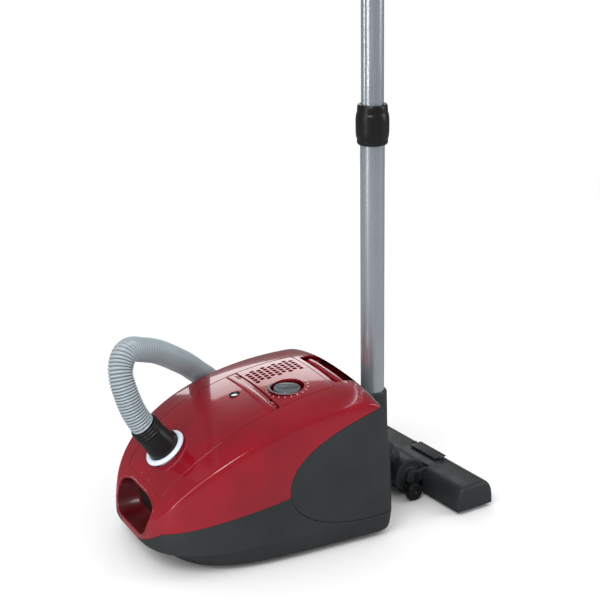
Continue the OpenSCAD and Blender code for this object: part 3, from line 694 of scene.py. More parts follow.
def top_patch(name, x0, x1, stations, columns=56):
    """Part of the roof between the lid seams, with thickness and rounded edges."""
    verts = []
    for i in range(stations + 1):
        x = x0 + (x1 - x0) * i / stations
        half = seam_y(x) - GAP
        verts += [(x, half * (2 * j / columns - 1), top_z(x, half * (2 * j / columns - 1)))
                  for j in range(columns + 1)]
    obj = raw(name, verts, grid_faces(stations + 1, columns + 1, around=False, caps=False))
    if obj.data.polygons[0].normal.z < 0:
        obj.data.flip_normals()
    thick = obj.modifiers.new("thickness", "SOLIDIFY")
    thick.thickness, thick.offset = WALL, -1
    rim = obj.modifiers.new("rim", "BEVEL")
    rim.width, rim.segments, rim.limit_method, rim.angle_limit = 0.0009, 3, "ANGLE", math.radians(50)
    apply_modifiers(obj)
    return obj


SIDES = (-1, 1)
WINDOW = Vector((-0.096, 0.010, 0))
HINGE = Vector((-0.0685, 0.052, 0.2142))


def notches(front, half):
    """Room for the hinge's knuckles, from a front station back over the hinge gap."""
    return [box("notch", (front, s * HINGE.y - half, 0.20), (-0.06, s * HINGE.y + half, 0.23)) for s in SIDES]


def knuckle(y, half):
    """A hinge eye beside a side station, with its bore."""
    return turned(disc(0.0026, -half, half, 0.0016), sideways(HINGE.x, y, HINGE.z), 32, 0.0002)


def dust_lid():
    obj = top_patch("red_lid", LID_FRONT, LID_REAR, 90)
    socket = cylinder("socket", 0.0262, -0.06, 0.06, SOCKET, 96)
    hole = cylinder("hole", 0.0082, 0.15, 0.25, Matrix.Translation(WINDOW))
    boolean(obj, "DIFFERENCE", socket, hole, *notches(-0.073, 0.0045))
    settle(obj, "lid", "housing_red", ["dust_lid"])
    parts = [turned([(0.0262, -0.021), (0.030, -0.021), (0.030, -0.004), (0.0262, -0.004)], SOCKET, 72)]
    for s in SIDES:
        parts.append(block((-0.246, s * 0.014 - 0.001, 0.104), (-0.232, s * 0.014 + 0.001, 0.117), 0.0003, 2))
        for k in SIDES:
            y = s * HINGE.y + k * 0.0075
            parts.append(knuckle(y, 0.0025))
            parts.append(block((HINGE.x - 0.007, y - 0.0025, HINGE.z - 0.0012),
                               (HINGE.x - 0.002, y + 0.0025, HINGE.z + 0.0012), 0.0003, 2))
    piece("lid_underside_parts", *combined(*parts), "lid", "housing_red")


def lid_ridge():
    """The raised band across the rear of the lid."""
    middle, half_deep, steps = -0.0765, 0.0052, 60
    rings = []
    for i in range(steps + 1):
        across_by = 2 * i / steps - 1
        y = (seam_y(middle - 0.0025) - 0.002) * across_by
        fade = min(1.0, (1 - abs(across_by)) * 12) ** 0.5
        ring = []
        for k in range(13):
            a = math.pi * k / 12
            x = middle - half_deep * math.cos(a)
            ring.append((x, y, top_z(x, y) - 0.0004 + 0.0021 * fade * math.sin(a) ** 0.7))
        rings.append(ring + [(middle, y, top_z(middle, y) - 0.002)])
    piece("lid_rear_band", *joined(rings), "lid", "housing_red")


def following(name, x0, x1, y0, y1, drop, thick_by, body, slot, material=None, cuts=()):
    """A thin sheet that follows the roof at a depth below it."""
    verts, columns = [], 40
    for x in (x0 + (x1 - x0) * i / 10 for i in range(11)):
        for j in range(columns + 1):
            y = y0 + (y1 - y0) * j / columns
            verts.append((x, y, top_z(x, y) - drop))
    obj = raw(name, verts, grid_faces(11, columns + 1, around=False, caps=False))
    thick = obj.modifiers.new("thickness", "SOLIDIFY")
    thick.thickness, thick.offset = thick_by, 0
    apply_modifiers(obj)
    if cuts:
        boolean(obj, "DIFFERENCE", *cuts)
    settle(obj, body, slot, material=material)


def hidden_sheets():
    """The lid's rear lip, the floor of the hinge gap in a darker red that paints the shade in the gap, and a
    near-black sheet under the grille that paints the shade behind its slots.
    """
    edge = seam_y(LID_REAR) - 0.004
    # painted shade: the hinge gap's floor is darker red
    following("hinge_channel", LID_REAR - 0.002, COVER_FRONT + 0.002, -edge, edge, 0.0098, 0.0008, "canister",
              "housing_red", SHADED_RECESS_RED)
    following("lid_rear_lip", LID_REAR - 0.0006, -0.0659, -edge, edge, 0.0007, 0.0012, "lid", "housing_red",
              cuts=notches(-0.075, 0.0055))
    # painted shade: a near-black sheet behind the grille's slots
    following("grille_shade_sheet", -0.0600, 0.0215, 0.0070, 0.0640, 0.0072, 0.0008, "canister",
              "inner_plastic", SHADE_BLACK)


DIAL = Vector((-0.030, -0.031, 0))
BOWL_R, DIAL_Z = 0.0245, 0.226
SLOT_PITCH, SLOT_X, SLOT_Y = 0.009, 0.0066, 0.0072


def motor_cover():
    obj = top_patch("red_cover", COVER_FRONT, COVER_REAR - GAP, 48)
    place = Matrix.Translation(DIAL)
    cut = [(AXIS_R, DIAL_Z - 0.011), (BOWL_R - 0.002, DIAL_Z - 0.011), (BOWL_R, DIAL_Z - 0.008),
           (BOWL_R + 0.0022, DIAL_Z + 0.02), (AXIS_R, DIAL_Z + 0.02)]
    lining = [(0.0056, DIAL_Z - 0.020), (BOWL_R + 0.0035, DIAL_Z - 0.020), (BOWL_R + 0.0035, DIAL_Z - 0.0022),
              (BOWL_R + 0.0005, DIAL_Z - 0.0022), (BOWL_R - 0.001, DIAL_Z - 0.0114),
              (0.0056, DIAL_Z - 0.0122)]
    bowl = raw("bowl", *turned(cut, place, 96, 0))
    cup = raw("dial_bowl", *turned(lining, place, 96, 0))
    middle = box("middle", (DIAL.x - 0.002, DIAL.y - 0.002, 0.2), (DIAL.x + 0.002, DIAL.y + 0.002, 0.25))
    boolean(obj, "DIFFERENCE", bowl, middle, slot_cutter())
    settle(obj, "canister", "housing_red", ["motor_cover"])
    # painted shade: the dial bowl's lining is darker red
    settle(cup, "canister", "housing_red", material=SHADED_RECESS_RED)
    parts = []
    for y in (-HINGE.y, HINGE.y):
        parts.append(knuckle(y, 0.004))
        parts.append(block((HINGE.x + 0.002, y - 0.004, HINGE.z - 0.0015),
                           (HINGE.x + 0.010, y + 0.004, HINGE.z + 0.001), 0.0003, 2))
    piece("hinge_lugs", *combined(*parts), "canister", "housing_red")


def slot_places():
    """Middles of the staggered air slots on the far half of the cover."""
    places = []
    for i in range(9):
        for j in range(6):
            y = 0.010 + SLOT_PITCH * j + (i % 2) * SLOT_PITCH / 2
            if y < 0.054:
                places.append((-0.059 + SLOT_PITCH * i + SLOT_X / 2, y + SLOT_Y / 2))
    return places


def slot_cutter():
    parts = [block((x - SLOT_X / 2, y - SLOT_Y / 2, 0.19), (x + SLOT_X / 2, y + SLOT_Y / 2, 0.25), 0.0013, 2)
             for x, y in slot_places()]
    return raw("slots", *combined(*parts))


def scale_marks():
    """A plain power scale round the dial: dashes that grow."""
    parts = []
    for k in range(13):
        a = math.radians(150 + 17.5 * k)
        length = 0.0016 + 0.00018 * k
        r = BOWL_R + 0.0062
        mid = Vector((DIAL.x + r * math.cos(a), DIAL.y + r * math.sin(a)))
        if abs(mid.y) > seam_y(mid.x) - 0.003:
            continue
        z = top_z(mid.x, mid.y)
        slope = (top_z(mid.x + 0.002, mid.y) - z) / 0.002, (top_z(mid.x, mid.y + 0.002) - z) / 0.002
        normal = Vector((-slope[0], -slope[1], 1)).normalized()
        place = along(normal, (mid.x, mid.y, z))
        turn = place.inverted().to_3x3() @ Vector((math.cos(a), math.sin(a), 0))
        place = place @ Matrix.Rotation(math.atan2(turn.y, turn.x), 4, "Z")
        parts.append(block((-length / 2, -0.0006, -0.0003), (length / 2, 0.0006, 0.00012), 0.0001, 1, place))
    piece("dial_scale", *combined(*parts), "canister", "housing_red", material=PRINT_WHITE)


def side_panel(s):
    obj = shell()
    outline = [(x + GAP, z - GAP) for x, z in curve(PANEL_TOP, 40)] \
        + [(x + 0.0003, z + 0.0003) for x, z in reversed(curve(PANEL_LOW, 40)[1:])]
    y0, y1 = (-0.16, -0.04) if s < 0 else (0.04, 0.16)
    boolean(obj, "INTERSECT", across(outline, y0, y1))
    boolean(obj, "DIFFERENCE", rear_region(GAP))
    obj.name = "grey_side_near" if s < 0 else "grey_side_far"
    settle(obj, "canister", "base_grey", ["side_panel_near" if s < 0 else "side_panel_far"])


def rear_region(grow):
    return across([(0.070 - grow, 0.050 - grow), (0.14, 0.050 - grow), (0.14, 0.2112), (0.098, 0.2112),
                   (0.070 - grow, 0.2046)], -0.096 - grow, 0.096 + grow)


OUTLET = Vector((0, -0.062, 0.078))
BUTTON_Z = 0.140


def rear_cover():
    obj = shell()
    boolean(obj, "INTERSECT", rear_region(0.0))
    vents = [block((0.06, y, z), (0.12, y + 0.024, z + 0.005), 0.001, 2)
             for z in (0.072 + 0.011 * i for i in range(7)) for y in (0.030, 0.060)]
    outlet, button = backwards(*OUTLET), backwards(0, OUTLET.y, BUTTON_Z)
    boolean(obj, "DIFFERENCE", cylinder("outlet", 0.0101, 0.06, 0.12, outlet),
            cylinder("button", 0.0094, 0.06, 0.12, button), raw("vents", *combined(*vents)))
    obj.name = "grey_rear"
    settle(obj, "canister", "base_grey", ["rear_cover"])
    lathe("cord_grommet", [(0.006, 0.088), (0.010, 0.088), (0.010, 0.0972), (0.013, 0.0972), (0.013, 0.0995),
                           (0.0075, 0.0995)], outlet, "canister", "rubber", ["cord_outlet"])
    lathe("rewind_cap", [(AXIS_R, 0.084), (0.003, 0.084), (0.003, 0.093), (0.009, 0.093), (0.009, 0.1005),
                         (0.0045, 0.1000), (AXIS_R, 0.0993)], button, "rewind", "grey_plastic",
          ["rewind_button"])


def plan_w(x, nose, w):
    return w * fall((WIDE_X - x) / (WIDE_X - nose), 3.3, 3.3) * fall((x - WIDE_X) / (TAIL_X - WIDE_X), 14, 6)


def plan_stack(levels):
    rings = []
    for z, nose, w in levels:
        near = [(x, -plan_w(x, nose, w), z) for x in spaced(nose + 0.0003, TAIL_X - 0.0003, 56)]
        rings.append(near + [(x, -y, z) for x, y, z in reversed(near)])
    return raw("stack", *joined(rings))


def tub_levels(inset):
    """Levels of the tub: the floor's edge turns up in a soft curve."""
    steps = [(FLOOR_GAP + inset, -0.226, 0.1275), (FLOOR_GAP + inset + 0.0012, -0.2295, 0.1305),
             (FLOOR_GAP + inset + 0.004, -0.2335, 0.1330), (0.020, -0.243, 0.137), (0.029, -0.256, 0.1398),
             (BELLY_Z, -0.270, 0.1414), (0.042 + inset / 3, -0.2729, 0.1414)]
    return [(z, nose + inset, w - inset) for z, nose, w in steps]


def base_shell():
    obj = shell()
    tub = boolean(plan_stack(tub_levels(0.0)), "DIFFERENCE", plan_stack(tub_levels(WALL)))
    boolean(obj, "UNION", tub)
    outline = [(LIP_BACK, 0.0), (LIP_BACK, 0.066), *lowered(curve(BASE_SEAM)),
               *lowered(curve(PANEL_LOW, 40)[1:]), (0.098, 0.0)]
    boolean(obj, "INTERSECT", boolean(across(outline), "UNION", under_lip(GAP)))
    pivot = upright(CASTER_X, 0)
    for s in SIDES:
        boolean(obj, "UNION", wheel_box(s, 0.040, 0.0163, 0.009, 0.075, 0.003))
    boolean(obj, "UNION", cylinder("house", 0.029, 0.009, 0.038, pivot, 72))
    boolean(obj, "UNION", cylinder("house", 0.012, 0.037, 0.050, pivot, 48))
    for s in SIDES:
        boolean(obj, "DIFFERENCE", wheel_box(s, 0.037, 0.0133, -0.01, 0.072, 0.002))
    boolean(obj, "DIFFERENCE", cylinder("room", 0.026, -0.01, 0.035, pivot, 72))
    boolean(obj, "DIFFERENCE", cylinder("room", 0.0062, 0.03, 0.06, pivot, 48))
    for x, y in SCREWS:
        boolean(obj, "DIFFERENCE", cylinder("room", 0.0045, -0.01, 0.012, upright(x, y), 40))
    obj.name = "grey_base"
    settle(obj, "canister", "base_grey", ["base_shell"])


def wheel_box(s, half_long, half_wide, z0, z1, radius):
    """A wheel arch or its inside, round one of the rear wheels."""
    return box("arch", (WHEEL_X - half_long, s * WHEEL_Y - half_wide, z0),
               (WHEEL_X + half_long, s * WHEEL_Y + half_wide, z1), radius)


WHEEL_X, WHEEL_Y, WHEEL_R = 0.042, 0.104, 0.034
CASTER_X, CASTER_TRAIL, CASTER_R = -0.195, 0.009, 0.013
SCREWS = ((-0.15, 0.095), (-0.15, -0.095), (0.088, 0.060), (0.088, -0.060))


# ---------------------------------------------------------------- front recess
def surface_x(y, z):
    """The front face of the form at a height and side distance."""
    low, high = NOSE_X + 0.0005, PEAK_X
    for _ in range(40):
        mid = (low + high) / 2
        inside = z <= top_z(mid, y) and abs(y) <= side_y(mid, z)
        low, high = (low, mid) if inside else (mid, high)
    return high


def front_grip():
    """The recess that a hand reaches into, with a rounded rim on the nose, walls in a darker red that paints
    their shade and a near-black floor that paints the shade deep inside.
    """
    outline = mouth_outline(-0.0006)
    middle = Vector((0.0, 0.075))
    rings = []
    for depth, inset in ((0.0, 0.0), (0.012, 0.002), (0.024, 0.0045), (0.033, 0.009), (0.0365, 0.016),
                         (0.0375, 0.024)):
        ring = []
        for y, z in outline:
            away = Vector((y, z)) - middle
            p = middle + away * (1 - inset / away.length)
            face = surface_x(y, z)
            ring.append((max(NOSE_X + depth, face + 0.001) if depth else face + 0.0004, p.x, p.y))
        rings.append(ring)
    n = len(outline)
    faces = grid_faces(len(rings), n, caps=False) + [tuple(range((len(rings) - 1) * n, len(rings) * n))]
    # painted shade: the recess walls are darker red
    piece("red_recess", [p for ring in rings for p in ring], faces, "canister", "housing_red", ["front_grip"],
          SHADED_RECESS_RED)
    hole = [(-0.0385, 0.052), (0.0385, 0.052), (0.046, 0.080), (-0.046, 0.080)]
    hole = softened(hole, 0.006, 5, closed=True)
    floor = prism("recess_slot", hole, NOSE_X + 0.0355, NOSE_X + 0.0371, FACING_FRONT)
    # painted shade: the recess's floor is near black
    settle(floor, "canister", "black_plastic", material=SHADE_BLACK)
    recess_rim()


def recess_rim(rim_r=0.0017, points=12):
    """The rounded lip round the recess."""
    path = [Vector((surface_x(y, z) + 0.0006, y, z)) for y, z in mouth_outline(0.0004)]
    verts, n = [], len(path)
    for i, p in enumerate(path):
        ahead = (path[(i + 1) % n] - path[i - 1]).normalized()
        side = ahead.cross(Vector((-1, 0, 0))).normalized()
        up = side.cross(ahead)
        verts += [p + rim_r * (math.cos(a) * side + math.sin(a) * up)
                  for a in (2 * math.pi * k / points for k in range(points))]
    piece("recess_rim", verts, loop_faces(n, points), "canister", "housing_red")


# ---------------------------------------------------------------- hose socket and small parts of the top
def hose_socket():
    lathe("white_ring", [(0.0238, -0.020), (0.026, -0.020), (0.026, 0.0015), (0.0322, 0.0015),
                         (0.0322, 0.003), (0.0298, 0.0058), (0.0262, 0.0062), (0.0240, 0.0045)],
          SOCKET, "lid", "white_plastic", ["swivel_ring"], 96, 0.0009)
    profile = [(0.016, -0.018), (0.0238, -0.018), (0.0238, 0.004), (0.0236, 0.010), (0.0224, 0.024),
               (0.0212, 0.0385)]
    for z in (0.0400, 0.0452, 0.0504):
        profile += [(0.0204, z), (0.0204, z + 0.0010), (0.0218, z + 0.0016), (0.0218, z + 0.0040)]
    profile += [(0.0207, CUFF_END - 0.0005), (0.016, CUFF_END - 0.0005)]
    lathe("black_cuff", profile, SOCKET, "cuff", "black_plastic", ["hose_cuff"], 96, 0.0005)
    piece("cuff_catch", *block((0.0212, -0.0043, 0.0066), (0.0258, 0.0043, 0.0144), 0.0014, 4, SOCKET),
          "cuff_release", "black_plastic", ["cuff_button"])


def indicator():
    tilt = along((-0.13, 0.02, 0.99), (WINDOW.x, WINDOW.y, crown(WINDOW.x) - 0.0022))
    ring = [(0.0055, -0.003), (0.0081, -0.003), (0.0081, 0.0026), (0.0070, 0.0032), (0.0055, 0.0006)]
    lathe("window_ring", ring, tilt, "lid", "black_plastic", ["indicator_window"], 64, 0.0004)
    dome = [(AXIS_R, -0.002), (0.0056, -0.002), (0.0056, 0.0006), (0.0034, 0.0014), (AXIS_R, 0.0017)]
    lathe("window_disc", dome, tilt, "lid", "white_plastic", (), 64, 0.0003)


def power_dial():
    """A knob with a raised grip across it and a dimple at one end."""
    place = Matrix.Translation(DIAL)
    profile = [(AXIS_R, 0.200), (0.005, 0.200), (0.005, 0.2172), (0.0196, 0.2172), (0.0205, 0.2190),
               (0.0203, 0.2222), (0.0188, 0.2240), (0.0120, 0.2248), (AXIS_R, 0.2250)]
    knob = raw("knob", *turned(profile, place, 96, 0.0004))
    turn = place @ Matrix.Rotation(math.radians(-27), 4, "Z")
    rings = []
    for i in range(33):
        t = i / 16 - 1
        ring = []
        for k in range(17):
            a = math.pi * k / 16
            width = 0.0052 * math.sqrt(max(0.0, 1 - t * t)) + 0.0003
            ring.append(turn @ Vector((0.0178 * t, width * math.cos(a),
                                       0.2240 + 0.0056 * (1 - 0.55 * t * t) * math.sin(a) ** 0.6)))
        rings.append(ring)
    boolean(knob, "UNION", raw("bar", *joined(rings)))
    dimple = raw("dimple", *turned([(AXIS_R, 0.2262), (0.0019, 0.2268), (0.0026, 0.232), (AXIS_R, 0.232)],
                                   turn @ Matrix.Translation((-0.0125, 0, 0)), 32, 0))
    boolean(knob, "DIFFERENCE", dimple)
    knob.name = "dial_knob"
    settle(knob, "dial", "grey_plastic", ["power_dial"])


HANDLE_X, HANDLE_Z = 0.064, 0.213  # the axis that the handle folds about


def carry_handle():
    """A bar that bows slightly upwards, on two arms."""
    path, radii = [], []
    for i in range(41):
        t = i / 20 - 1
        path.append(Vector((0.051, 0.055 * t, 0.2178 + 0.0022 * (1 - t ** 4))))
        radii.append(0.0060)
    parts = [swept(path, radii, 28, first=Vector((1, 0, 0)))]
    for s in SIDES:
        y = s * 0.053
        parts.append(block((0.050, y - 0.003, 0.2125), (0.066, y + 0.003, 0.2185), 0.0012, 3))
        parts.append(turned(disc(0.004, -0.003, 0.003), sideways(HANDLE_X, y, HANDLE_Z), 40, 0.0006))
        parts.append(turned(disc(0.0025, -0.0024, 0.0024), sideways(HANDLE_X, s * 0.057, HANDLE_Z),
                            32, 0.0004))
    piece("handle_bar", *combined(*parts), "handle", "housing_red", ["carry_handle"])


# ---------------------------------------------------------------- wheels
def wheels():
    for s, body, node in ((-1, "left_wheel", "wheel_near"), (1, "right_wheel", "wheel_far")):
        profile = [(0.00405, -0.0108), (0.010, -0.0110), (0.012, -0.0085), (0.026, -0.0085), (0.028, -0.0105),
                   (0.031, -0.0105), (WHEEL_R, -0.007), (WHEEL_R, 0.007), (0.031, 0.0105), (0.028, 0.0105),
                   (0.026, 0.0085), (0.012, 0.0085), (0.010, 0.0110), (0.00405, 0.0108)]
        place = sideways(WHEEL_X, s * WHEEL_Y, WHEEL_R)
        lathe("rolling_" + node, profile, place, body, "black_plastic", [node], 72, 0.0008)
    profile = [(0.00255, -0.0069), (0.010, -0.0069), (CASTER_R, -0.0045), (CASTER_R, 0.0045),
               (0.010, 0.0069), (0.00255, 0.0069)]
    lathe("caster_tyre", profile, sideways(CASTER_X + CASTER_TRAIL, 0, CASTER_R), "caster_roller", "rubber",
          ["caster_wheel"], 56, 0.0008)


# ---------------------------------------------------------------- wand
WAND_X = 0.131
COLLAR_Z, WAND_TOP = 0.562, 0.880
LOWER_R, UPPER_R, TUBE_WALL = 0.018, 0.0165, 0.001
GROOVE_HALF, GROOVE_DEEP = 0.16, 0.0011  # half the groove's width as an angle, and its depth


def wand_axis(z=0.0):
    return Matrix.Translation((WAND_X, 0, z))


def grooved_tube(name, r, z0, z1, groove, body, node):
    """A tube, with a shallow groove pressed along one side where groove gives its angle."""
    heights = [z0 + (z1 - z0) * i / 40 for i in range(41)]
    line = [(r, z) for z in heights] + [(r - TUBE_WALL, z) for z in reversed(heights)]
    segments = 120
    verts = []
    for k in range(segments):
        a = 2 * math.pi * k / segments
        off = (a - groove + math.pi) % (2 * math.pi) - math.pi if groove is not None else math.pi
        press = GROOVE_DEEP * max(0.0, 1 - (off / GROOVE_HALF) ** 4) if abs(off) < GROOVE_HALF else 0.0
        c, s = math.cos(a), math.sin(a)
        verts += [wand_axis() @ Vector(((q - press) * c, (q - press) * s, z)) for q, z in line]
    piece(name, verts, loop_faces(segments, len(line)), body, "tube_steel", [node])


def wand():
    grooved_tube("steel_lower", LOWER_R, 0.121, COLLAR_Z + 0.030, None, "wand", "lower_tube")
    grooved_tube("steel_upper", UPPER_R, COLLAR_Z - 0.076, WAND_TOP - 0.030, math.radians(200), "extension",
                 "upper_tube")
    sleeve = [(0.01805, 0.1190), (0.01905, 0.1190), (0.01905, 0.104), (0.0222, 0.104), (0.0231, 0.107),
              (0.0226, 0.150), (0.0221, 0.1745), (0.0206, 0.177), (0.01805, 0.177)]
    sleeve_parts = [turned(sleeve, wand_axis(), 96, 0.0008)]
    sleeve_parts.append(block((0.100, -0.0125, 0.0943), (0.1035, 0.0125, 0.144), 0.0008, 3))
    sleeve_parts.append(block((0.1030, -0.0065, 0.108), (0.1105, 0.0065, 0.144), 0.0008, 3))
    piece("grey_sleeve", *combined(*sleeve_parts), "wand", "base_grey", ["tube_sleeve"])
    collar = [(0.01805, 0.0), (0.0215, 0.0), (0.0226, 0.002), (0.0228, 0.008), (0.0238, 0.011),
              (0.0245, 0.018), (0.0246, 0.036), (0.0238, 0.044), (0.0226, 0.0465), (0.0222, 0.055),
              (0.0212, 0.0585), (0.0169, 0.059), (0.0169, 0.0302), (0.01805, 0.0302)]
    obj = raw("black_collar", *turned(collar, wand_axis(COLLAR_Z), 96, 0.0010))
    boolean(obj, "DIFFERENCE", box("window", (WAND_X - 0.0063, 0.0205, COLLAR_Z + 0.010),
                                   (WAND_X + 0.0063, 0.0300, COLLAR_Z + 0.043), 0.0015))
    settle(obj, "wand", "black_plastic", ["tube_collar"])
    parts = [block((WAND_X - 0.006, 0.021, COLLAR_Z + 0.0185), (WAND_X + 0.006, 0.0262, COLLAR_Z + 0.0415),
                   0.0014, 3)]
    parts += [block((WAND_X - 0.0048, 0.0255, COLLAR_Z + 0.0225 + 0.004 * i),
                    (WAND_X + 0.0048, 0.0268, COLLAR_Z + 0.024 + 0.004 * i), 0.0005, 2) for i in range(4)]
    piece("length_slider", *combined(*parts), "length_lock", "grey_plastic", ["collar_slider"])
    socket = [(0.0160, -0.030), (0.01655, -0.0302), (0.01655, -0.038), (0.0188, -0.038), (0.0195, -0.035),
              (0.0193, -0.006), (0.0195, -0.004), (0.0195, -0.001), (0.0188, 0.0), (0.0160, 0.0)]
    lathe("wand_socket", socket, wand_axis(WAND_TOP), "extension", "black_plastic", ["tube_socket"],
          96, 0.0006)


# ---------------------------------------------------------------- floor head
HEAD_YAW = math.radians(6)
LEAN = math.radians(37)
NOZZLE = Matrix.Translation((WAND_X, 0, 0)) @ Matrix.Rotation(HEAD_YAW, 4, "Z")
DRUM_X, DRUM_Z = 0.046, 0.033
NECK = NOZZLE @ Matrix.Translation((DRUM_X, 0, DRUM_Z)) @ Matrix.Rotation(-LEAN, 4, "Y")
HEAD_X, HEAD_Y, HEAD_W, HEAD_D, HEAD_TOP = 0.095, -0.008, 0.266, 0.066, 0.046
ROLLER_X, ROLLER_R = 0.040, 0.014
PEDAL_X, PEDAL_Y, PEDAL_Z = 0.104, -0.006, 0.0484


def crosswise(x, y, z):
    """A place on the floor head whose Z runs across it."""
    return NOZZLE @ Matrix.Translation((x, y, z)) @ Matrix.Rotation(-math.pi / 2, 4, "X")


def elbow():
    """The bent piece between the sleeve and the neck."""
    start, end = Vector((WAND_X, 0, 0.096)), NECK @ Vector((0, 0, 0.046))
    down, slant = Vector((0, 0, -1)), (NECK.to_3x3() @ Vector((0, 0, -1))).normalized()
    bend = [bezier((start, start + down * 0.012, end - slant * 0.012, end), t / 14) for t in range(15)]
    path = [Vector((WAND_X, 0, 0.1185)), Vector((WAND_X, 0, 0.110)), Vector((WAND_X, 0, 0.103)), *bend,
            NECK @ Vector((0, 0, 0.0455)), NECK @ Vector((0, 0, 0.034))]
    radii = [0.0190] * 3 + [0.0192 - 0.0012 * t / 14 for t in range(15)] + [0.0150, 0.0150]
    piece("grey_elbow", *swept(path, radii, 64), "wand", "base_grey", ["nozzle_elbow"])


def neck():
    drum = [(0.0061, -0.038), (0.0130, -0.038), (0.0140, -0.0368), (0.0205, -0.0368), (0.0215, -0.038),
            (0.0262, -0.038), (0.028, -0.0362), (0.028, 0.0362), (0.0262, 0.038), (0.0215, 0.038),
            (0.0205, 0.0368), (0.0140, 0.0368), (0.0130, 0.038), (0.0061, 0.038)]
    obj = raw("grey_neck", *turned(drum, crosswise(DRUM_X, 0, DRUM_Z), 96, 0.0008))
    throat = [(AXIS_R, 0.0), (0.019, 0.0), (0.019, 0.0400), (0.0180, 0.0445), (AXIS_R, 0.0445)]
    boolean(obj, "UNION", raw("throat", *turned(throat, NECK, 72, 0.0006)))
    boolean(obj, "DIFFERENCE", cylinder("spigot_room", 0.0151, 0.010, 0.06, NECK, 72))
    roller_place = crosswise(ROLLER_X, 0, ROLLER_R)
    boolean(obj, "UNION", cylinder("boss", 0.006, -0.038, 0.038, roller_place, 48))
    boolean(obj, "DIFFERENCE", cylinder("axle_room", 0.00305, -0.06, 0.06, roller_place, 32))
    settle(obj, "neck", "base_grey", ["nozzle_neck"])
    roller = [(AXIS_R, 0.048), (0.011, 0.048), (0.0136, 0.0500), (ROLLER_R, 0.0520), (ROLLER_R, 0.0570),
              (0.0128, 0.0592), (0.0100, 0.0596), (0.0060, 0.0588), (0.0035, 0.0600), (AXIS_R, 0.0600)]
    parts = [turned(roller, roller_place, 64, 0.0004),
             turned([(r, -z) for r, z in reversed(roller)], roller_place, 64, 0.0004),
             turned(disc(0.003, -0.050, 0.050), roller_place, 32, 0)]
    piece("floor_rollers", *combined(*parts), "rollers", "black_plastic", ["nozzle_rollers"])
    studs = [turned(disc(0.0014, z - 0.0004, z + 0.0004), roller_place, 24, 0.0001)
             for z in (-0.0598, 0.0598)]
    piece("roller_pins", *combined(*studs), "rollers", "steel")


def head_profile(inset=0.0, top=HEAD_TOP):
    """The head's outline across its depth: a soft front, a step near the rear."""
    back, front = HEAD_X - HEAD_D / 2 + inset, HEAD_X + HEAD_D / 2 - inset
    return [(back, 0.005), (back, top * 0.62), (back + 0.007, top - 0.002 - inset),
            (HEAD_X - 0.004, top - inset), (HEAD_X + 0.021, top - 0.001 - inset),
            (front - 0.003, top * 0.74), (front, top * 0.40), (front, 0.005)]


def head_block(name, y0, y1, ends, soft):
    """A stretch of the head between two side stations. ends says which of them are rounded."""
    outline = softened(head_profile(), 0.007, 6, closed=False)
    middle = Vector((HEAD_X, HEAD_TOP * 0.45))
    steps = [(soft * (1 - math.cos(a)), 1 - soft * (1 - math.sin(a)) / 0.03)
             for a in (math.pi / 2 * k / 6 for k in range(7))]
    first = [(y0 + d, k) for d, k in steps] if ends[0] else [(y0, 1.0)]
    last = [(y1 - d, k) for d, k in reversed(steps)] if ends[1] else [(y1, 1.0)]
    rings = []
    for y, k in first + last:
        ring = []
        for x, z in outline:
            p = middle + (Vector((x, z)) - middle) * k
            ring.append(NOZZLE @ Vector((p.x, y, max(0.005, p.y))))
        rings.append(ring)
    return raw(name, *joined(rings))


def nozzle_box(low, high, radius=0.001, segments=3):
    return block(low, high, radius, segments, NOZZLE)


